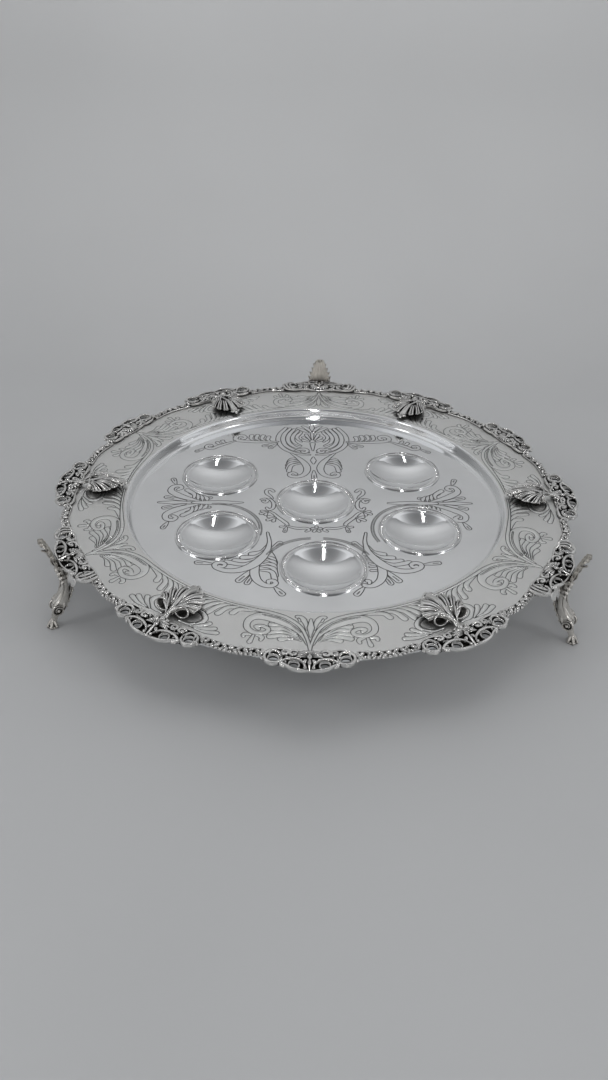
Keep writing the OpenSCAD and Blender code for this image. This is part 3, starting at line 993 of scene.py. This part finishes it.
# ------------------------------------------------------------------ acanthus leaves
# A leaf is laid out with its stem at the origin, x towards its tip and z up from the border.
LEAF_STEM_R = 197.4
LEAF_ROOT = np.array([4.0, 0, 0])
LEAF_FAN = 62.0
LEAF_LOBES = ((0.0, 9.0), (17.0, 8.0), (33.5, 8.5), (52.0, 10.0))
LEAF_EDGES = (9.0, 25.0, 42.0)
RIB_STEP = 8.0


def rib_wave(a):
    """1 along the leaf's ribs and 0 in the grooves between them, at angles from its midrib."""
    return np.abs(np.sin(np.pi * (a - 9.0) / RIB_STEP))


def leaf_reach(q):
    """Reach of the leaf from its root at angles across its fan: a tip and three lobes each side."""
    a = np.abs(q)
    body = np.interp(
        a, [0, 9, 17, 25, 33, 42, 52, LEAF_FAN], [31.5, 28.0, 28.5, 26.5, 25.5, 23.0, 21.0, 16.5])
    notch = sum(np.exp(-np.abs(a - edge) / 1.7) for edge in LEAF_EDGES)
    return body * (1 - 0.27 * notch - 0.06 * (1 - rib_wave(a) ** 0.7) * (a > 6))


def leaf_height(q, v):
    """Height of the leaf above the border at angles q and shares v of the way to its margin."""
    a = np.abs(q)
    tip = np.exp(-((a / 12.0) ** 2))
    body = 6.4 * np.sin(np.pi * v * 0.87)
    arch = sum(np.sqrt(np.clip(1 - ((a - middle) / half) ** 2, 0, 1)) for middle, half in LEAF_LOBES)
    ribs = -1.1 * (1 - rib_wave(a)) ** 1.6 * np.clip(1.8 * v, 0, 1)
    flip = 0.7 * np.clip((v - 0.8) / 0.2, 0, 1) ** 2
    midrib = 1.3 * np.exp(-((a / 3.0) ** 2)) * (1 - v)
    return 1.6 + body + 1.9 * (arch - 0.5) * v**0.8 + ribs * (1 - 0.4 * tip) + flip + midrib


def trumpet(side):
    """One of the two hollow rolls at a leaf's root, that open towards the rim as dark eyes."""
    line = level(curve([(17.0, 10.4), (13.4, 8.8), (10.0, 8.0), (6.8, 8.2)], 0.5), [4.4, 3.9, 4.3, 5.7])
    ahead = headings(line)
    across = unit(np.cross([0, 0, 1], ahead))
    upward = np.cross(ahead, across)
    round_about = polar(1.0, np.arange(28) * 360 / 28) * [1.05, 0.84]
    skins = []
    for wall in (0.0, 0.7):
        reach = (along(line[:, :2], [1.6, 2.8, 3.8, 5.0]) - wall)[:, None]
        rows = [line + (across * x + upward * y) * reach for x, y in round_about]
        skins.append(np.stack(rows, axis=1))
    outer, inner = skins
    roll = Cast()
    roll.grid(np.concatenate([outer, inner[::-1]]), closed=True)
    lip = np.vstack([outer[-1], outer[-1][:1]])
    roll.tube(lip, 0.65, 0.65, up=ahead[-1])
    return roll.mapped(lambda p: p * [1, side, 1])


def leaf_place(angle):
    """What lays a leaf on the border at an angle, with its stem outwards."""
    def change(p):
        xy = np.column_stack([LEAF_STEM_R - p[:, 0], p[:, 1]])
        return raised(turned(xy, angle), BORDER_Z + p[:, 2])
    return change


def make_leaf():
    """A domed, ribbed leaf with two rolls at its root; slots are silver and a dark skirt of painted shade
    under its margin.
    """
    q, v = np.meshgrid(np.linspace(-LEAF_FAN, LEAF_FAN, 337), np.linspace(0.05, 1.0, 30))
    flat = polar(leaf_reach(q) * v**0.95, q)
    upper = np.concatenate([flat, leaf_height(q, v)[:, :, None]], axis=2) + LEAF_ROOT
    lower = upper - np.multiply.outer(0.8 + 0.5 * (1 - v), [0, 0, 1])
    leaf = Cast()
    leaf.grid(np.concatenate([upper, lower[::-1]]))
    for j in (0, -1):
        leaf.grid(np.stack([upper[:, j], lower[:, j]]))
    leaf.grid(np.stack([upper[0], lower[0]]))
    leaf.tube(upper[-1, ::3] - [0, 0, 0.2], 0.5, 0.55)
    # a dark skirt from the margin down to the border: painted shade under the leaf
    rim = upper[-1] - [0, 0, 0.9]
    shrunk = (rim - LEAF_ROOT) * [0.84, 0.84, 1] + LEAF_ROOT
    foot = (rim - LEAF_ROOT) * [0.80, 0.80, 0] + LEAF_ROOT + [0, 0, 0.1]
    leaf.grid(np.stack([rim, shrunk, foot]), slot=1)
    stem = [(-4.0, 0), (1, 0), (8, 0), (18, 0), (29.0, 0)]
    stem = level(stem, [2.8, 4.6, 7.4, 8.6, 6.6])
    leaf.tube(stem, [2.2, 1.9, 1.4, 0.9, 0.6], [1.5, 1.3, 1.1, 0.9, 0.7], sides=10)
    for side in (-1, 1):
        leaf.join(trumpet(side))
        # strands that run from the stem over the rolls to the leaf's first lobe
        for k in range(3):
            points = [(1.0 + k, 1.2), (6.6, 3.4 + 1.5 * k), (10.4, 5.6 + 2.1 * k), (15.0, 8.0 + 2.5 * k)]
            strand = curve(np.array(points) * [1, side], 0.8)
            heights = [4.6, 7.8 + 0.4 * k, 8.4 + 0.2 * k, 7.0 - 0.6 * k]
            leaf.tube(level(strand, heights), [0.4, 0.7, 0.8, 0.4], 0.7)
        curl = spiral((33.6, side * 1.9), 2.3, 0.9, 200 * side, -200 * side)
        leaf.tube(level(curl, [3.0, 4.4, 4.8]), [0.6, 0.9, 0.8], 1.1)
        leaf.bead((-3.4, side * 4.0, 2.8), 1.5, 1.6)
    leaf.bead((36.4, 0, 3.6), 1.6, 1.6)
    leaf.bead((-3.4, 0, 3.2), 2.3, 2.0)
    return leaf


# ------------------------------------------------------------------ feet
# A foot is laid out in its own upright plane: x outwards from the tray's axis, y sideways, z up.
LEG_LINE = [(219.4, 8), (218.2, 0), (217.2, -8), (217.6, -15), (219.6, -21), (222.6, -26), (225.4, -31),
            (227.6, -36), (229.6, -41), (231.0, -45), (231.6, -47.6)]
LEG_DEPTH = [3.0, 2.7, 2.5, 2.5, 2.8, 4.4, 5.4, 4.8, 2.7, 2.1, 2.3]
LEG_WIDTH = [4.8, 4.4, 4.2, 4.2, 4.1, 4.5, 5.0, 4.6, 2.8, 2.3, 2.5]
LEG_EDGE = [(221.4, 7), (220.2, -1), (219.4, -9), (220.2, -15), (222.6, -21), (226.0, -25.5)]
LEG_STRIP = [(215.0, 4), (212.4, -6), (212.2, -14), (214.4, -21), (217.6, -27), (221.0, -33), (224.8, -37.5)]
SIDEWAYS = (0, 1, 0)


def upright(path, y):
    """A path of (x, z) pairs in the foot's plane, as points at a sideways distance."""
    path = np.asarray(path, float)
    return np.column_stack([path[:, 0], np.full(len(path), y), path[:, 1]])


def leg_shaft():
    """The S-shaped shaft: a rounded square in section, with a flute down its outer face."""
    line = curve(LEG_LINE)
    depth = along(line, LEG_DEPTH)
    width = along(line, LEG_WIDTH)
    ahead = headings(line)
    out = np.column_stack([-ahead[:, 1], ahead[:, 0]])
    rows = []
    for corner in polar(1.0, np.arange(48) * 360 / 48):
        reach_x, reach_y = np.sign(corner) * np.abs(corner) ** 0.7
        flute = 1 - 0.16 * math.exp(-((reach_y / 0.45) ** 2)) * (reach_x > 0)
        section = line + out * (reach_x * depth * flute)[:, None]
        rows.append(np.column_stack([section[:, 0], reach_y * width, section[:, 1]]))
    shaft = Cast()
    shaft.grid(np.stack(rows, axis=1), closed=True, caps=True)
    return shaft


def leg_side(leg, side):
    """The scrolls, borders, beads and leaf tips on one side of a leg."""
    # the knee scroll round its boss, and the smaller scroll that curls back under the rim
    knee = spiral((226.0, -31.6), 5.2, 1.9, 150, -400, 0.6)
    leg.tube(upright(knee, side * 4.6), [0.6, 0.9, 0.9, 0.7], [0.8, 1.1, 1.1, 0.9], up=SIDEWAYS)
    leg.bead((226.0, side * 4.9, -31.6), 1.5, 1.5)
    neck = spiral((215.4, -4.2), 4.4, 1.2, -70, 330, 0.6)
    leg.tube(upright(neck, side * 3.6), [0.5, 0.9, 0.8], [0.8, 1.2, 0.9], up=SIDEWAYS)
    # the raised border down the leg's side, and the beaded strip that follows its inner side
    leg.tube(upright(curve(LEG_EDGE), side * 4.2), [0.5, 0.8, 0.6], 0.8, up=SIDEWAYS)
    strip = curve(LEG_STRIP)
    leg.tube(upright(strip, side * 2.4), [0.5, 0.9, 0.5], 1.0, up=SIDEWAYS)
    for t in np.linspace(0.12, 0.8, 8):
        x, z = strip[int(t * len(strip))]
        leg.bead((x - 0.2, side * 3.0, z), 1.0, 1.2)
    # toothed leaf tips at the top, on the palmette's side, and over the knee
    for x, z, size in ((222.8, 7.4, 1.7), (221.8, 3.0, 1.7), (221.0, -1.4, 1.5), (220.4, -5.6, 1.3)):
        leg.petal((x - 4.0, side * 3.4, z + 2.0), (x + 0.6, side * 5.2, z - 2.2), size, 1.3, bulge=0.62)
    leg.petal((222.8, side * 3.8, -21.6), (228.6, side * 5.0, -26.2), 1.6, 1.4, bulge=0.5)
    leg.petal((221.4, side * 3.8, -23.6), (222.4, side * 5.4, -29.8), 1.5, 1.4, bulge=0.5)


def make_leg():
    """A leg with its ornament, five toe leaves round the sole, and the lug that carries it."""
    leg = leg_shaft()
    for side in (-1, 1):
        leg_side(leg, side)
    for y in (-2.6, 0, 2.6):
        leg.petal((222.2, y, -20.2), (229.4 - 0.2 * abs(y), y * 1.25, -28.0), 1.5, 1.7, bulge=0.7)
    for x, y in polar(1.0, np.array([0, 58, -58, 122, -122])):
        toe = [(230.2, 0, -40.2), (SOLE_R - 0.6 + 1.4 * x, 1.6 * y, -42.4),
               (SOLE_R + 3.0 * x, 3.0 * y, -45.2), (SOLE_R + 4.0 * x, 4.2 * y, -47.3)]
        leg.tube(toe, [0.8, 1.2, 1.5, 0.8], [0.8, 1.1, 1.2, 0.8], sides=10)
        leg.bead((SOLE_R + 3.8 * x, 3.9 * y, -47.0), 1.3, 1.2)
    sole = [(3.2, -46.8), (3.9, -47.5), (4.0, GROUND_Z + 0.2), (3.8, GROUND_Z)]
    leg.grid(revolved(sole, 48, (SOLE_R, 0)), closed=True, caps=True)
    lug = []
    for x in np.linspace(205, 218.2, 8):
        h = 1.6 + 0.2 * (x - 205) / 3
        oval = polar(1.0, np.arange(16) * 360 / 16) * [3.8, h] + [0, 4.0 - h]
        lug.append(np.column_stack([np.full(16, x), oval]))
    leg.grid(lug, closed=True, caps=True)
    return leg


def make_palmette():
    """The fluted palmette that stands above the rim, with a toothed edge and a scrolled top."""
    low, high = 8.0, 31.0
    u, v = np.meshgrid(np.linspace(-1, 1, 81), np.linspace(0, 1, 45))
    width = np.interp(
        v, [0, 0.06, 0.14, 0.3, 0.5, 0.7, 0.85, 0.94, 1.0], [6, 9.5, 11.6, 11.2, 9.8, 7.6, 6.2, 5.4, 3.6])
    teeth = 1 - 0.20 * (1 - np.abs(np.sin(np.pi * (v * 5.2 + 0.1)))) * np.abs(u) ** 4 * (v > 0.1)
    ribs = (np.abs(np.cos(u * math.pi * 2.5)) - 0.5) * 1.1 * np.clip(1.3 - 0.7 * v, 0.3, 1)
    lean = 220.9 + 0.25 * v * (high - low) + 2.2 * v**4 - 1.2 * (1 - u**2) * np.sin(np.pi * v)
    y = u * width * teeth
    z = low + (high - low) * v + 0.9 * np.abs(np.cos(u * math.pi * 1.5)) * v**12
    face = np.stack([lean - 0.7 + ribs * 0.5, y, z], axis=-1)
    back = np.stack([lean + 0.8 + ribs * 0.9, y, z], axis=-1)
    cast = Cast()
    cast.grid(np.concatenate([face, back[:, ::-1]], axis=1), closed=True, caps=True)
    for side in (-1, 1):
        # curled leaf tips down the edge, and a C-scroll on the palmette's back
        edge = face[:, 0 if side < 0 else -1]
        for t, size in ((0.12, 1.5), (0.30, 1.5), (0.48, 1.4), (0.66, 1.3), (0.84, 1.2)):
            x, y, z = edge[int(t * 44)]
            cast.petal((x + 0.4, y * 0.84, z - 2.0), (x + 0.6, y * 1.10, z + 1.8), 1.1, size, bulge=0.65)
        c_scroll = curve([(221.8, 9.5), (224.4, 14), (224.2, 19.5), (226.4, 24), (229.8, 26.5)], 0.8)
        cast.tube(upright(c_scroll, side * 5.2), [0.6, 1.0, 0.7], 1.0, up=SIDEWAYS)
    for y, r in ((-3.3, 1.6), (0.0, 1.9), (3.3, 1.6)):
        cast.bead((228.6, y, 30.6 - 0.14 * abs(y) ** 1.6), r, r)
        cast.petal((224.6, y * 0.7, 23.5), (227.0, y, 29.4), 1.4, 1.0, bulge=0.7)
    return cast


def make_bracket():
    """The pierced plate under the border and its fringe of leaf drops."""
    top = BORDER_Z - SHEET_T
    thickness = 2.0
    side = curve([(214.4, 8.8), (208, 9.6), (202, 9.9), (195, 10.8), (188.5, 6.6), (186.2, 0)])
    outline = np.vstack([side, (side * [1, -1])[-2::-1]])
    holes = [circle((204.5, 6.3 * s), 2.2, 24) for s in (-1, 1)]
    cast = plate(outline, holes, top - thickness, top)
    # leaf drops that hang from the cartouche's edge on both sides of the leg
    for j in range(10):
        pair = j // 2
        a = (1.6 + 1.15 * pair) * (-1 if j % 2 else 1)
        length = 10.5 - 1.1 * pair + 1.5 * (pair % 2)
        cast.petal((*polar(214.6, a), 7.6), (*polar(217.0, a * 1.03), 7.0 - length), 2.1, 1.3, bulge=0.42)
    cast.tube(raised(polar(213.4, np.linspace(-7.0, 7.0, 40)), 7.0), 1.5, 0.9)
    return cast


# ------------------------------------------------------------------ materials
def node(tree, kind, **inputs):
    """A shader node, with its inputs set to numbers, colours or other nodes' outputs."""
    made = tree.nodes.new("ShaderNode" + kind)
    for name, value in inputs.items():
        plug(tree, made.inputs[name.replace("_", " ")], value)
    return made


def plug(tree, socket, value):
    """Gives a socket another node's output, a colour or a number."""
    if hasattr(value, "is_linked"):
        tree.links.new(value, socket)
    else:
        socket.default_value = (*value, 1) if isinstance(value, tuple) else value


def new_material(name):
    material = bpy.data.materials.new(name)
    material.use_nodes = True
    tree = material.node_tree
    tree.nodes.clear()
    shader = node(tree, "BsdfPrincipled")
    node(tree, "OutputMaterial", Surface=shader.outputs["BSDF"])
    return material, tree, shader


def noise(tree, scale, detail=3.0, rough=0.55):
    """Noise over the part's own coordinates, at a scale in waves per metre."""
    where = node(tree, "TexCoord").outputs["Object"]
    return node(tree, "TexNoise", Vector=where, Scale=scale, Detail=detail, Roughness=rough).outputs["Fac"]


def ramp(tree, value, stops):
    """A colour ramp: stops are (place, colour or grey)."""
    made = node(tree, "ValToRGB", Fac=value)
    while len(made.color_ramp.elements) < len(stops):
        made.color_ramp.elements.new(0.5)
    for element, (place, colour) in zip(made.color_ramp.elements, stops):
        element.position = place
        element.color = (*colour, 1) if isinstance(colour, tuple) else (colour, colour, colour, 1)
    return made.outputs["Color"]


def mixed(tree, share, first, second, kind="MIX"):
    """A colour mix. The node has sockets of one name for each type of data, so a number picks the colours."""
    made = node(tree, "Mix")
    made.data_type = "RGBA"
    made.blend_type = kind
    colour_a, colour_b, colour_out = 6, 7, 2
    for name, value in (("Factor", share), (colour_a, first), (colour_b, second)):
        plug(tree, made.inputs[name], value)
    return made.outputs[colour_out]


def bump(tree, shader, value, strength, distance):
    made = node(tree, "Bump", Height=value, Strength=strength, Distance=distance)
    plug(tree, shader.inputs["Normal"], made.outputs["Normal"])


def silver(name):
    """A bare metal material, its node tree and its shader."""
    material, tree, shader = new_material(name)
    shader.inputs["Metallic"].default_value = 1.0
    return material, tree, shader


def silver_sheet(name, tint, roughness, grain=0.0, grain_scale=0.0, waves=0.0):
    """Sheet silver: slightly uneven colour and polish, with a stippled grain or slow waves."""
    material, tree, shader = silver(name)
    duller = tuple(c * 0.93 for c in tint)
    plug(tree, shader.inputs["Base Color"], ramp(tree, noise(tree, 24.0, 4.0), [(0.3, duller), (0.7, tint)]))
    spread = ramp(tree, noise(tree, 60.0, 5.0, 0.6), [(0.3, roughness[0]), (0.75, roughness[1])])
    plug(tree, shader.inputs["Roughness"], spread)
    if grain:
        bump(tree, shader, noise(tree, grain_scale, 2.0, 0.6), grain, 0.0003)
    elif waves:
        bump(tree, shader, noise(tree, 16.0, 1.0, 0.4), waves, 0.002)
    return material


def cast_silver(name, bright, dark, reach, roughness):
    """Cast silver: bright on its high points, oxidised where its recesses are shut in."""
    material, tree, shader = silver(name)
    shade = node(tree, "AmbientOcclusion", Distance=reach)
    shade.samples = 8
    openness = ramp(tree, shade.outputs["AO"], [(0.40, 0.0), (0.86, 1.0)])
    patch = ramp(tree, noise(tree, 90.0, 5.0, 0.65), [(0.35, 0.72), (0.65, 1.0)])
    share = mixed(tree, 1.0, openness, patch, "MULTIPLY")
    polished, worn = roughness
    plug(tree, shader.inputs["Base Color"], mixed(tree, share, dark, bright))
    plug(tree, shader.inputs["Roughness"], mixed(tree, share, (worn,) * 3, (polished,) * 3))
    bump(tree, shader, noise(tree, 700.0, 3.0, 0.6), 0.25, 0.0003)
    return material


GADROON = cast_silver("gadrooned silver", (0.93, 0.93, 0.93), (0.12, 0.12, 0.12), 0.0007, (0.07, 0.3))
POLISHED = silver_sheet("polished silver", (0.90, 0.905, 0.91), (0.05, 0.12), waves=0.035)
STIPPLED = silver_sheet("stippled silver", (0.84, 0.835, 0.82), (0.36, 0.50), 0.55, 1500.0)
CHASED = silver_sheet("chased silver", (0.86, 0.86, 0.845), (0.26, 0.38), 0.25, 900.0)
LINES = silver_sheet("oxidised line", (0.15, 0.15, 0.145), (0.4, 0.6), 0.2, 900.0)
CAST = cast_silver("cast silver", (0.88, 0.87, 0.85), (0.035, 0.033, 0.030), 0.0035, (0.16, 0.5))
LEAF = cast_silver("oxidised leaf silver", (0.86, 0.85, 0.83), (0.030, 0.028, 0.026), 0.0045, (0.18, 0.5))
AGED = cast_silver("aged silver", (0.84, 0.81, 0.76), (0.06, 0.05, 0.04), 0.004, (0.20, 0.5))
PALMETTE = cast_silver("aged palmette silver", (0.60, 0.57, 0.52), (0.05, 0.045, 0.04), 0.005, (0.30, 0.5))
# Near-black sheet for painted shade: the plates behind the cartouches' scrolls and the skirts under the
# leaves' margins.
PAINTED_SHADE = silver_sheet("oxidised web", (0.035, 0.033, 0.03), (0.5, 0.7), 0.3, 700.0)


# ------------------------------------------------------------------ making the pieces
make_tray().piece(
    "tray", [POLISHED, STIPPLED, CHASED, LINES], ["tray_plate"], "polished_silver", sharp=24, weld=0.012)
ring = make_well_ring()
for name, (x, y, _) in WELLS.items():
    ring.mapped(moved_by([x, y, 0])).piece(
        "gadroon_ring_" + name, [GADROON], ["well_ring_" + name], "polished_silver", weld=0.001)
cartouches = {kind: make_cartouche(kind) for kind in KIND_REACH}
for k in range(RIM_COUNT):
    number = f"{k + 1:02d}"
    cartouches[rim_kind(k)].mapped(bent(PITCH * k)).piece(
        "cartouche_" + number, [CAST, PAINTED_SHADE], ["rim_scrollwork_" + number], "cast_silver")
    make_moulding(k).piece("moulding_" + number, [CAST], ["rim_moulding_" + number], "cast_silver")
leaf = make_leaf()
leaf_angles = [PITCH * k for k in range(RIM_COUNT) if rim_kind(k) == "leaf"]
for n, angle in enumerate(leaf_angles, 1):
    leaf.mapped(leaf_place(angle)).piece(
        f"leaf_{n}", [LEAF, PAINTED_SHADE], [f"acanthus_leaf_{n}"], "oxidised_silver", sharp=60)
foot = [
    ("leg_", make_leg(), AGED, "aged_silver"),
    ("palmette_", make_palmette(), PALMETTE, "aged_silver"),
    ("bracket_", make_bracket(), CAST, "cast_silver"),
]
for name, angle in FEET.items():
    for part, cast, material, slot in foot:
        cast.mapped(turned_by(angle)).piece(part + name, [material], ["foot_" + part + name], slot)


# ------------------------------------------------------------------ stage, light and camera, in metres
PAPER_FLAT_Y = 0.34
PAPER_BEND = 0.30
PAPER_TOP = 1.75
PAPER_REACH = 9.0
# The ground behind the bend lies this far under the paper.
PAPER_GAP = 0.0005


def stage_material():
    """Pale matt paper, seen from above only."""
    material, tree, shader = new_material("pale paper")
    plug(tree, shader.inputs["Roughness"], 0.9)
    colour = ramp(tree, noise(tree, 3.0, 2.0), [(0.3, (0.55, 0.555, 0.56)), (0.7, (0.58, 0.585, 0.59))])
    plug(tree, shader.inputs["Base Color"], colour)
    blend = node(tree, "MixShader", Fac=node(tree, "NewGeometry").outputs["Backfacing"])
    plug(tree, blend.inputs[1], shader.outputs["BSDF"])
    plug(tree, blend.inputs[2], node(tree, "BsdfTransparent").outputs["BSDF"])
    plug(tree, tree.nodes["Material Output"].inputs["Surface"], blend.outputs["Shader"])
    return material


def make_stage():
    """Paper that lies flat and curves up behind the salver, and flat ground behind the bend."""
    ground = GROUND_Z * MM
    line = [(-PAPER_REACH, ground), (PAPER_FLAT_Y, ground)]
    for a in np.linspace(0.05, math.pi / 2, 24):
        line.append((PAPER_FLAT_Y + PAPER_BEND * math.sin(a), ground + PAPER_BEND * (1 - math.cos(a))))
    line.append((PAPER_FLAT_Y + PAPER_BEND, PAPER_TOP))
    faces = [(2 * i, 2 * i + 1, 2 * i + 3, 2 * i + 2) for i in range(len(line) - 1)]
    first = 2 * len(line)
    faces.append((first, first + 1, first + 3, first + 2))
    line += [(y, ground - PAPER_GAP) for y in (PAPER_FLAT_Y, PAPER_REACH)]
    points = [(x, y, z) for y, z in line for x in (-PAPER_REACH, PAPER_REACH)]
    mesh = bpy.data.meshes.new("paper")
    mesh.from_pydata(points, [], faces)
    mesh.polygons.foreach_set("use_smooth", [True] * len(faces))
    mesh.materials.append(stage_material())
    paper = bpy.data.objects.new("paper", mesh)
    bpy.context.scene.collection.objects.link(paper)


def area_light(name, place, target, size, power, mirrored=True, spread=180):
    """A rectangular lamp that faces a target, seen in the silver if it is mirrored."""
    data = bpy.data.lights.new(name, "AREA")
    data.shape = "RECTANGLE"
    data.size, data.size_y = size
    data.energy = power
    data.spread = math.radians(spread)
    lamp = bpy.data.objects.new(name, data)
    lamp.location = place
    lamp.rotation_euler = (Vector(target) - Vector(place)).to_track_quat("-Z", "Y").to_euler()
    lamp.visible_glossy = mirrored
    bpy.context.scene.collection.objects.link(lamp)


def make_world():
    """Grey studio all round, dark high up on the camera's side and at the ceiling."""
    world = bpy.data.worlds.new("studio")
    world.use_nodes = True
    tree = world.node_tree
    split = node(tree, "SeparateXYZ", Vector=node(tree, "TexCoord").outputs["Generated"]).outputs
    span = node(tree, "MapRange", Value=split["Y"], From_Min=-1)
    tone = ramp(tree, span.outputs["Result"], [
        (0.0, (0.12, 0.125, 0.13)),
        (0.20, (0.18, 0.185, 0.195)),
        (0.36, (0.80, 0.815, 0.84)),
        (1.0, (0.97, 0.985, 1.0)),
    ])
    low_band = ramp(tree, split["Z"], [(0.10, 0.78), (0.60, 0.10)])
    ceiling = ramp(tree, split["Z"], [(0.0, 0.84), (0.82, 0.84), (0.94, 0.31), (1.0, 0.20)])
    background = tree.nodes["Background"].inputs
    plug(tree, background["Color"], mixed(tree, 1.0, tone, low_band, "LIGHTEN"))
    plug(tree, background["Strength"], ceiling)
    bpy.context.scene.world = world


def make_lights():
    area_light("overhead", (0.0, -0.05, 1.55), (0, 0.05, 0), (1.3, 0.9), 2.6, mirrored=False)
    area_light("backdrop", (0.0, -0.9, 1.1), (0, 0.64, 0.95), (1.2, 0.3), 2.9, mirrored=False, spread=85)
    area_light("tube", (0.03, -0.1, 1.5), (0.03, -0.1, 0), (0.016, 0.8), 1.1)
    area_light("front", (0.05, -1.3, 1.0), (0, 0, 0), (0.07, 0.7), 2.2)
    for name, x in (("left", -1.25), ("right", 1.25)):
        area_light(name, (x, -0.6, 1.1), (0, 0, 0), (0.2, 0.4), 1.2)


def make_camera():
    """The camera stands in front, 35 degrees above the floor's plane."""
    turn, roll, rise = math.radians(1.15), math.radians(0.952), math.radians(34.902)
    distance, shift_x, shift_y = 0.7161, 0.00963, 0.03329
    back = Vector((math.sin(turn) * math.cos(rise), -math.cos(turn) * math.cos(rise), math.sin(rise)))
    level_x = Vector((math.cos(turn), math.sin(turn), 0))
    right = math.cos(roll) * level_x + math.sin(roll) * back.cross(level_x)
    up = back.cross(right)
    data = bpy.data.cameras.new("camera")
    data.sensor_width = 36
    data.lens = 27.96
    camera = bpy.data.objects.new("camera", data)
    # the tray's axis meets the picture a little right of its middle and above it
    place = back * distance - right * shift_x - up * shift_y
    camera.matrix_world = Matrix((
        (right.x, up.x, back.x, place.x),
        (right.y, up.y, back.y, place.y),
        (right.z, up.z, back.z, place.z),
        (0, 0, 0, 1),
    ))
    bpy.context.scene.collection.objects.link(camera)
    bpy.context.scene.camera = camera


make_stage()
make_world()
make_lights()
make_camera()
bpy.context.scene.view_settings.view_transform = "Standard"
bpy.context.view_layer.update()
